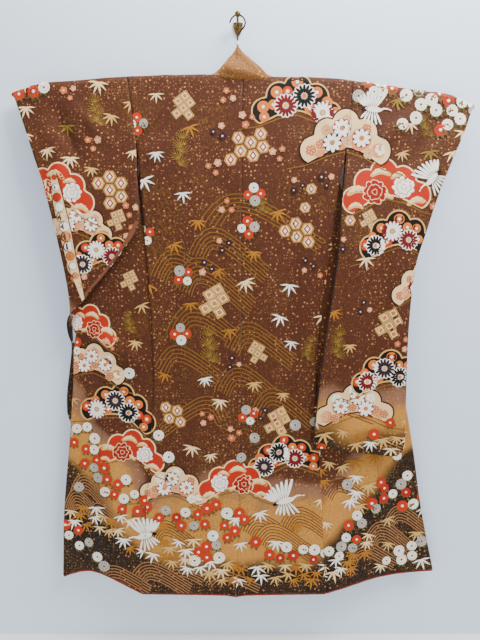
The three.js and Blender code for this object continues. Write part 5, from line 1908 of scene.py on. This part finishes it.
class BuildStage(bpy.types.Operator):
    """Make the wall, the floor, the light and the camera."""

    bl_idname = "furisode.stage"
    bl_label = "Stage"

    def plane(self, name, corners, rgb):
        mesh = bpy.data.meshes.new(name)
        mesh.from_pydata(corners, [], [(0, 1, 2, 3)])
        material, n, shader = start_material(name + "_paint")
        shader.inputs["Base Color"].default_value = (*rgb, 1)
        shader.inputs["Roughness"].default_value = 0.85
        clear = n.add("ShaderNodeBsdfTransparent")
        behind = n.add("ShaderNodeNewGeometry").outputs["Backfacing"]
        both = n.add("ShaderNodeMixShader")
        n.put(both.inputs[0], behind)
        n.put(both.inputs[1], shader.outputs[0])
        n.put(both.inputs[2], clear.outputs[0])
        n.put(material.node_tree.nodes["Material Output"].inputs["Surface"], both.outputs[0])
        mesh.materials.append(material)
        plane = new_object(name, mesh)
        plane.visible_shadow = False

    def lamp(self, name, place, target, size, power, rgb):
        light = bpy.data.lights.new(name, "AREA")
        light.shape = "RECTANGLE"
        light.size, light.size_y = size
        light.energy = power
        light.color = rgb
        lamp = new_object(name, light)
        lamp.location = place
        lamp.rotation_euler = (Vector(target) - Vector(place)).to_track_quat("-Z", "Y").to_euler()

    def execute(self, context):
        stage = context.scene.furisode_stage
        wall_y = CAD_BOX[1][1] + WALL_GAP
        foot = [(-ROOM_HALF, wall_y, FLOOR_Z), (ROOM_HALF, wall_y, FLOOR_Z)]
        self.plane("wall", [*foot, (ROOM_HALF, wall_y, ROOM_TOP), (-ROOM_HALF, wall_y, ROOM_TOP)], stage.wall)
        near = [(-ROOM_HALF, -ROOM_DEPTH, FLOOR_Z), (ROOM_HALF, -ROOM_DEPTH, FLOOR_Z)]
        self.plane("floor", [*near, *foot[::-1]], stage.floor)
        for name, (place, target, size, share, rgb) in LAMPS.items():
            self.lamp(name, place, target, size, stage.light * share, rgb)
        world = bpy.data.worlds.new("room")
        context.scene.world = world
        world.use_nodes = True
        backdrop = world.node_tree.nodes["Background"]
        backdrop.inputs["Color"].default_value = ROOM_AIR
        backdrop.inputs["Strength"].default_value = AIR_STRENGTH
        view = bpy.data.cameras.new("camera")
        view.lens = stage.lens
        camera = new_object("camera", view)
        camera.location = CAMERA_PLACE
        camera.rotation_euler = (math.radians(CAMERA_PITCH), 0, 0)
        context.scene.camera = camera
        return {"FINISHED"}


class FURISODE_PT_build(bpy.types.Panel):
    """The steps that build the furisode."""

    bl_label = "Furisode"
    bl_idname = "FURISODE_PT_build"
    bl_space_type = "VIEW_3D"
    bl_region_type = "UI"
    bl_category = "Furisode"

    def draw(self, context):
        for group in ("furisode_dyes", "furisode_cloth", "furisode_stage"):
            box = self.layout.box()
            settings = getattr(context.scene, group)
            for name in settings.__annotations__:
                box.prop(settings, name)
        for operator in OPERATORS:
            self.layout.operator(operator.bl_idname)


OPERATORS = (
    BuildStage, BuildBack, BuildFronts, BuildSleeves, BuildCollar, BuildHemRolls, PaintPattern, FinishHanger)
GROUPS = {"furisode_dyes": FurisodeDyes, "furisode_cloth": FurisodeCloth, "furisode_stage": FurisodeStage}


def register():
    for cls in (*GROUPS.values(), *OPERATORS, FURISODE_PT_build):
        bpy.utils.register_class(cls)
    for name, cls in GROUPS.items():
        setattr(bpy.types.Scene, name, bpy.props.PointerProperty(type=cls))


def unregister():
    for name in GROUPS:
        delattr(bpy.types.Scene, name)
    for cls in (FURISODE_PT_build, *reversed(OPERATORS), *reversed(list(GROUPS.values()))):
        bpy.utils.unregister_class(cls)


def main():
    register()
    bpy.ops.furisode.stage()
    bpy.ops.furisode.back()
    bpy.ops.furisode.fronts()
    bpy.ops.furisode.sleeves()
    bpy.ops.furisode.collar()
    bpy.ops.furisode.hem_rolls()
    bpy.ops.furisode.pattern()
    bpy.ops.furisode.hanger()


if __name__ == "__main__":
    main()
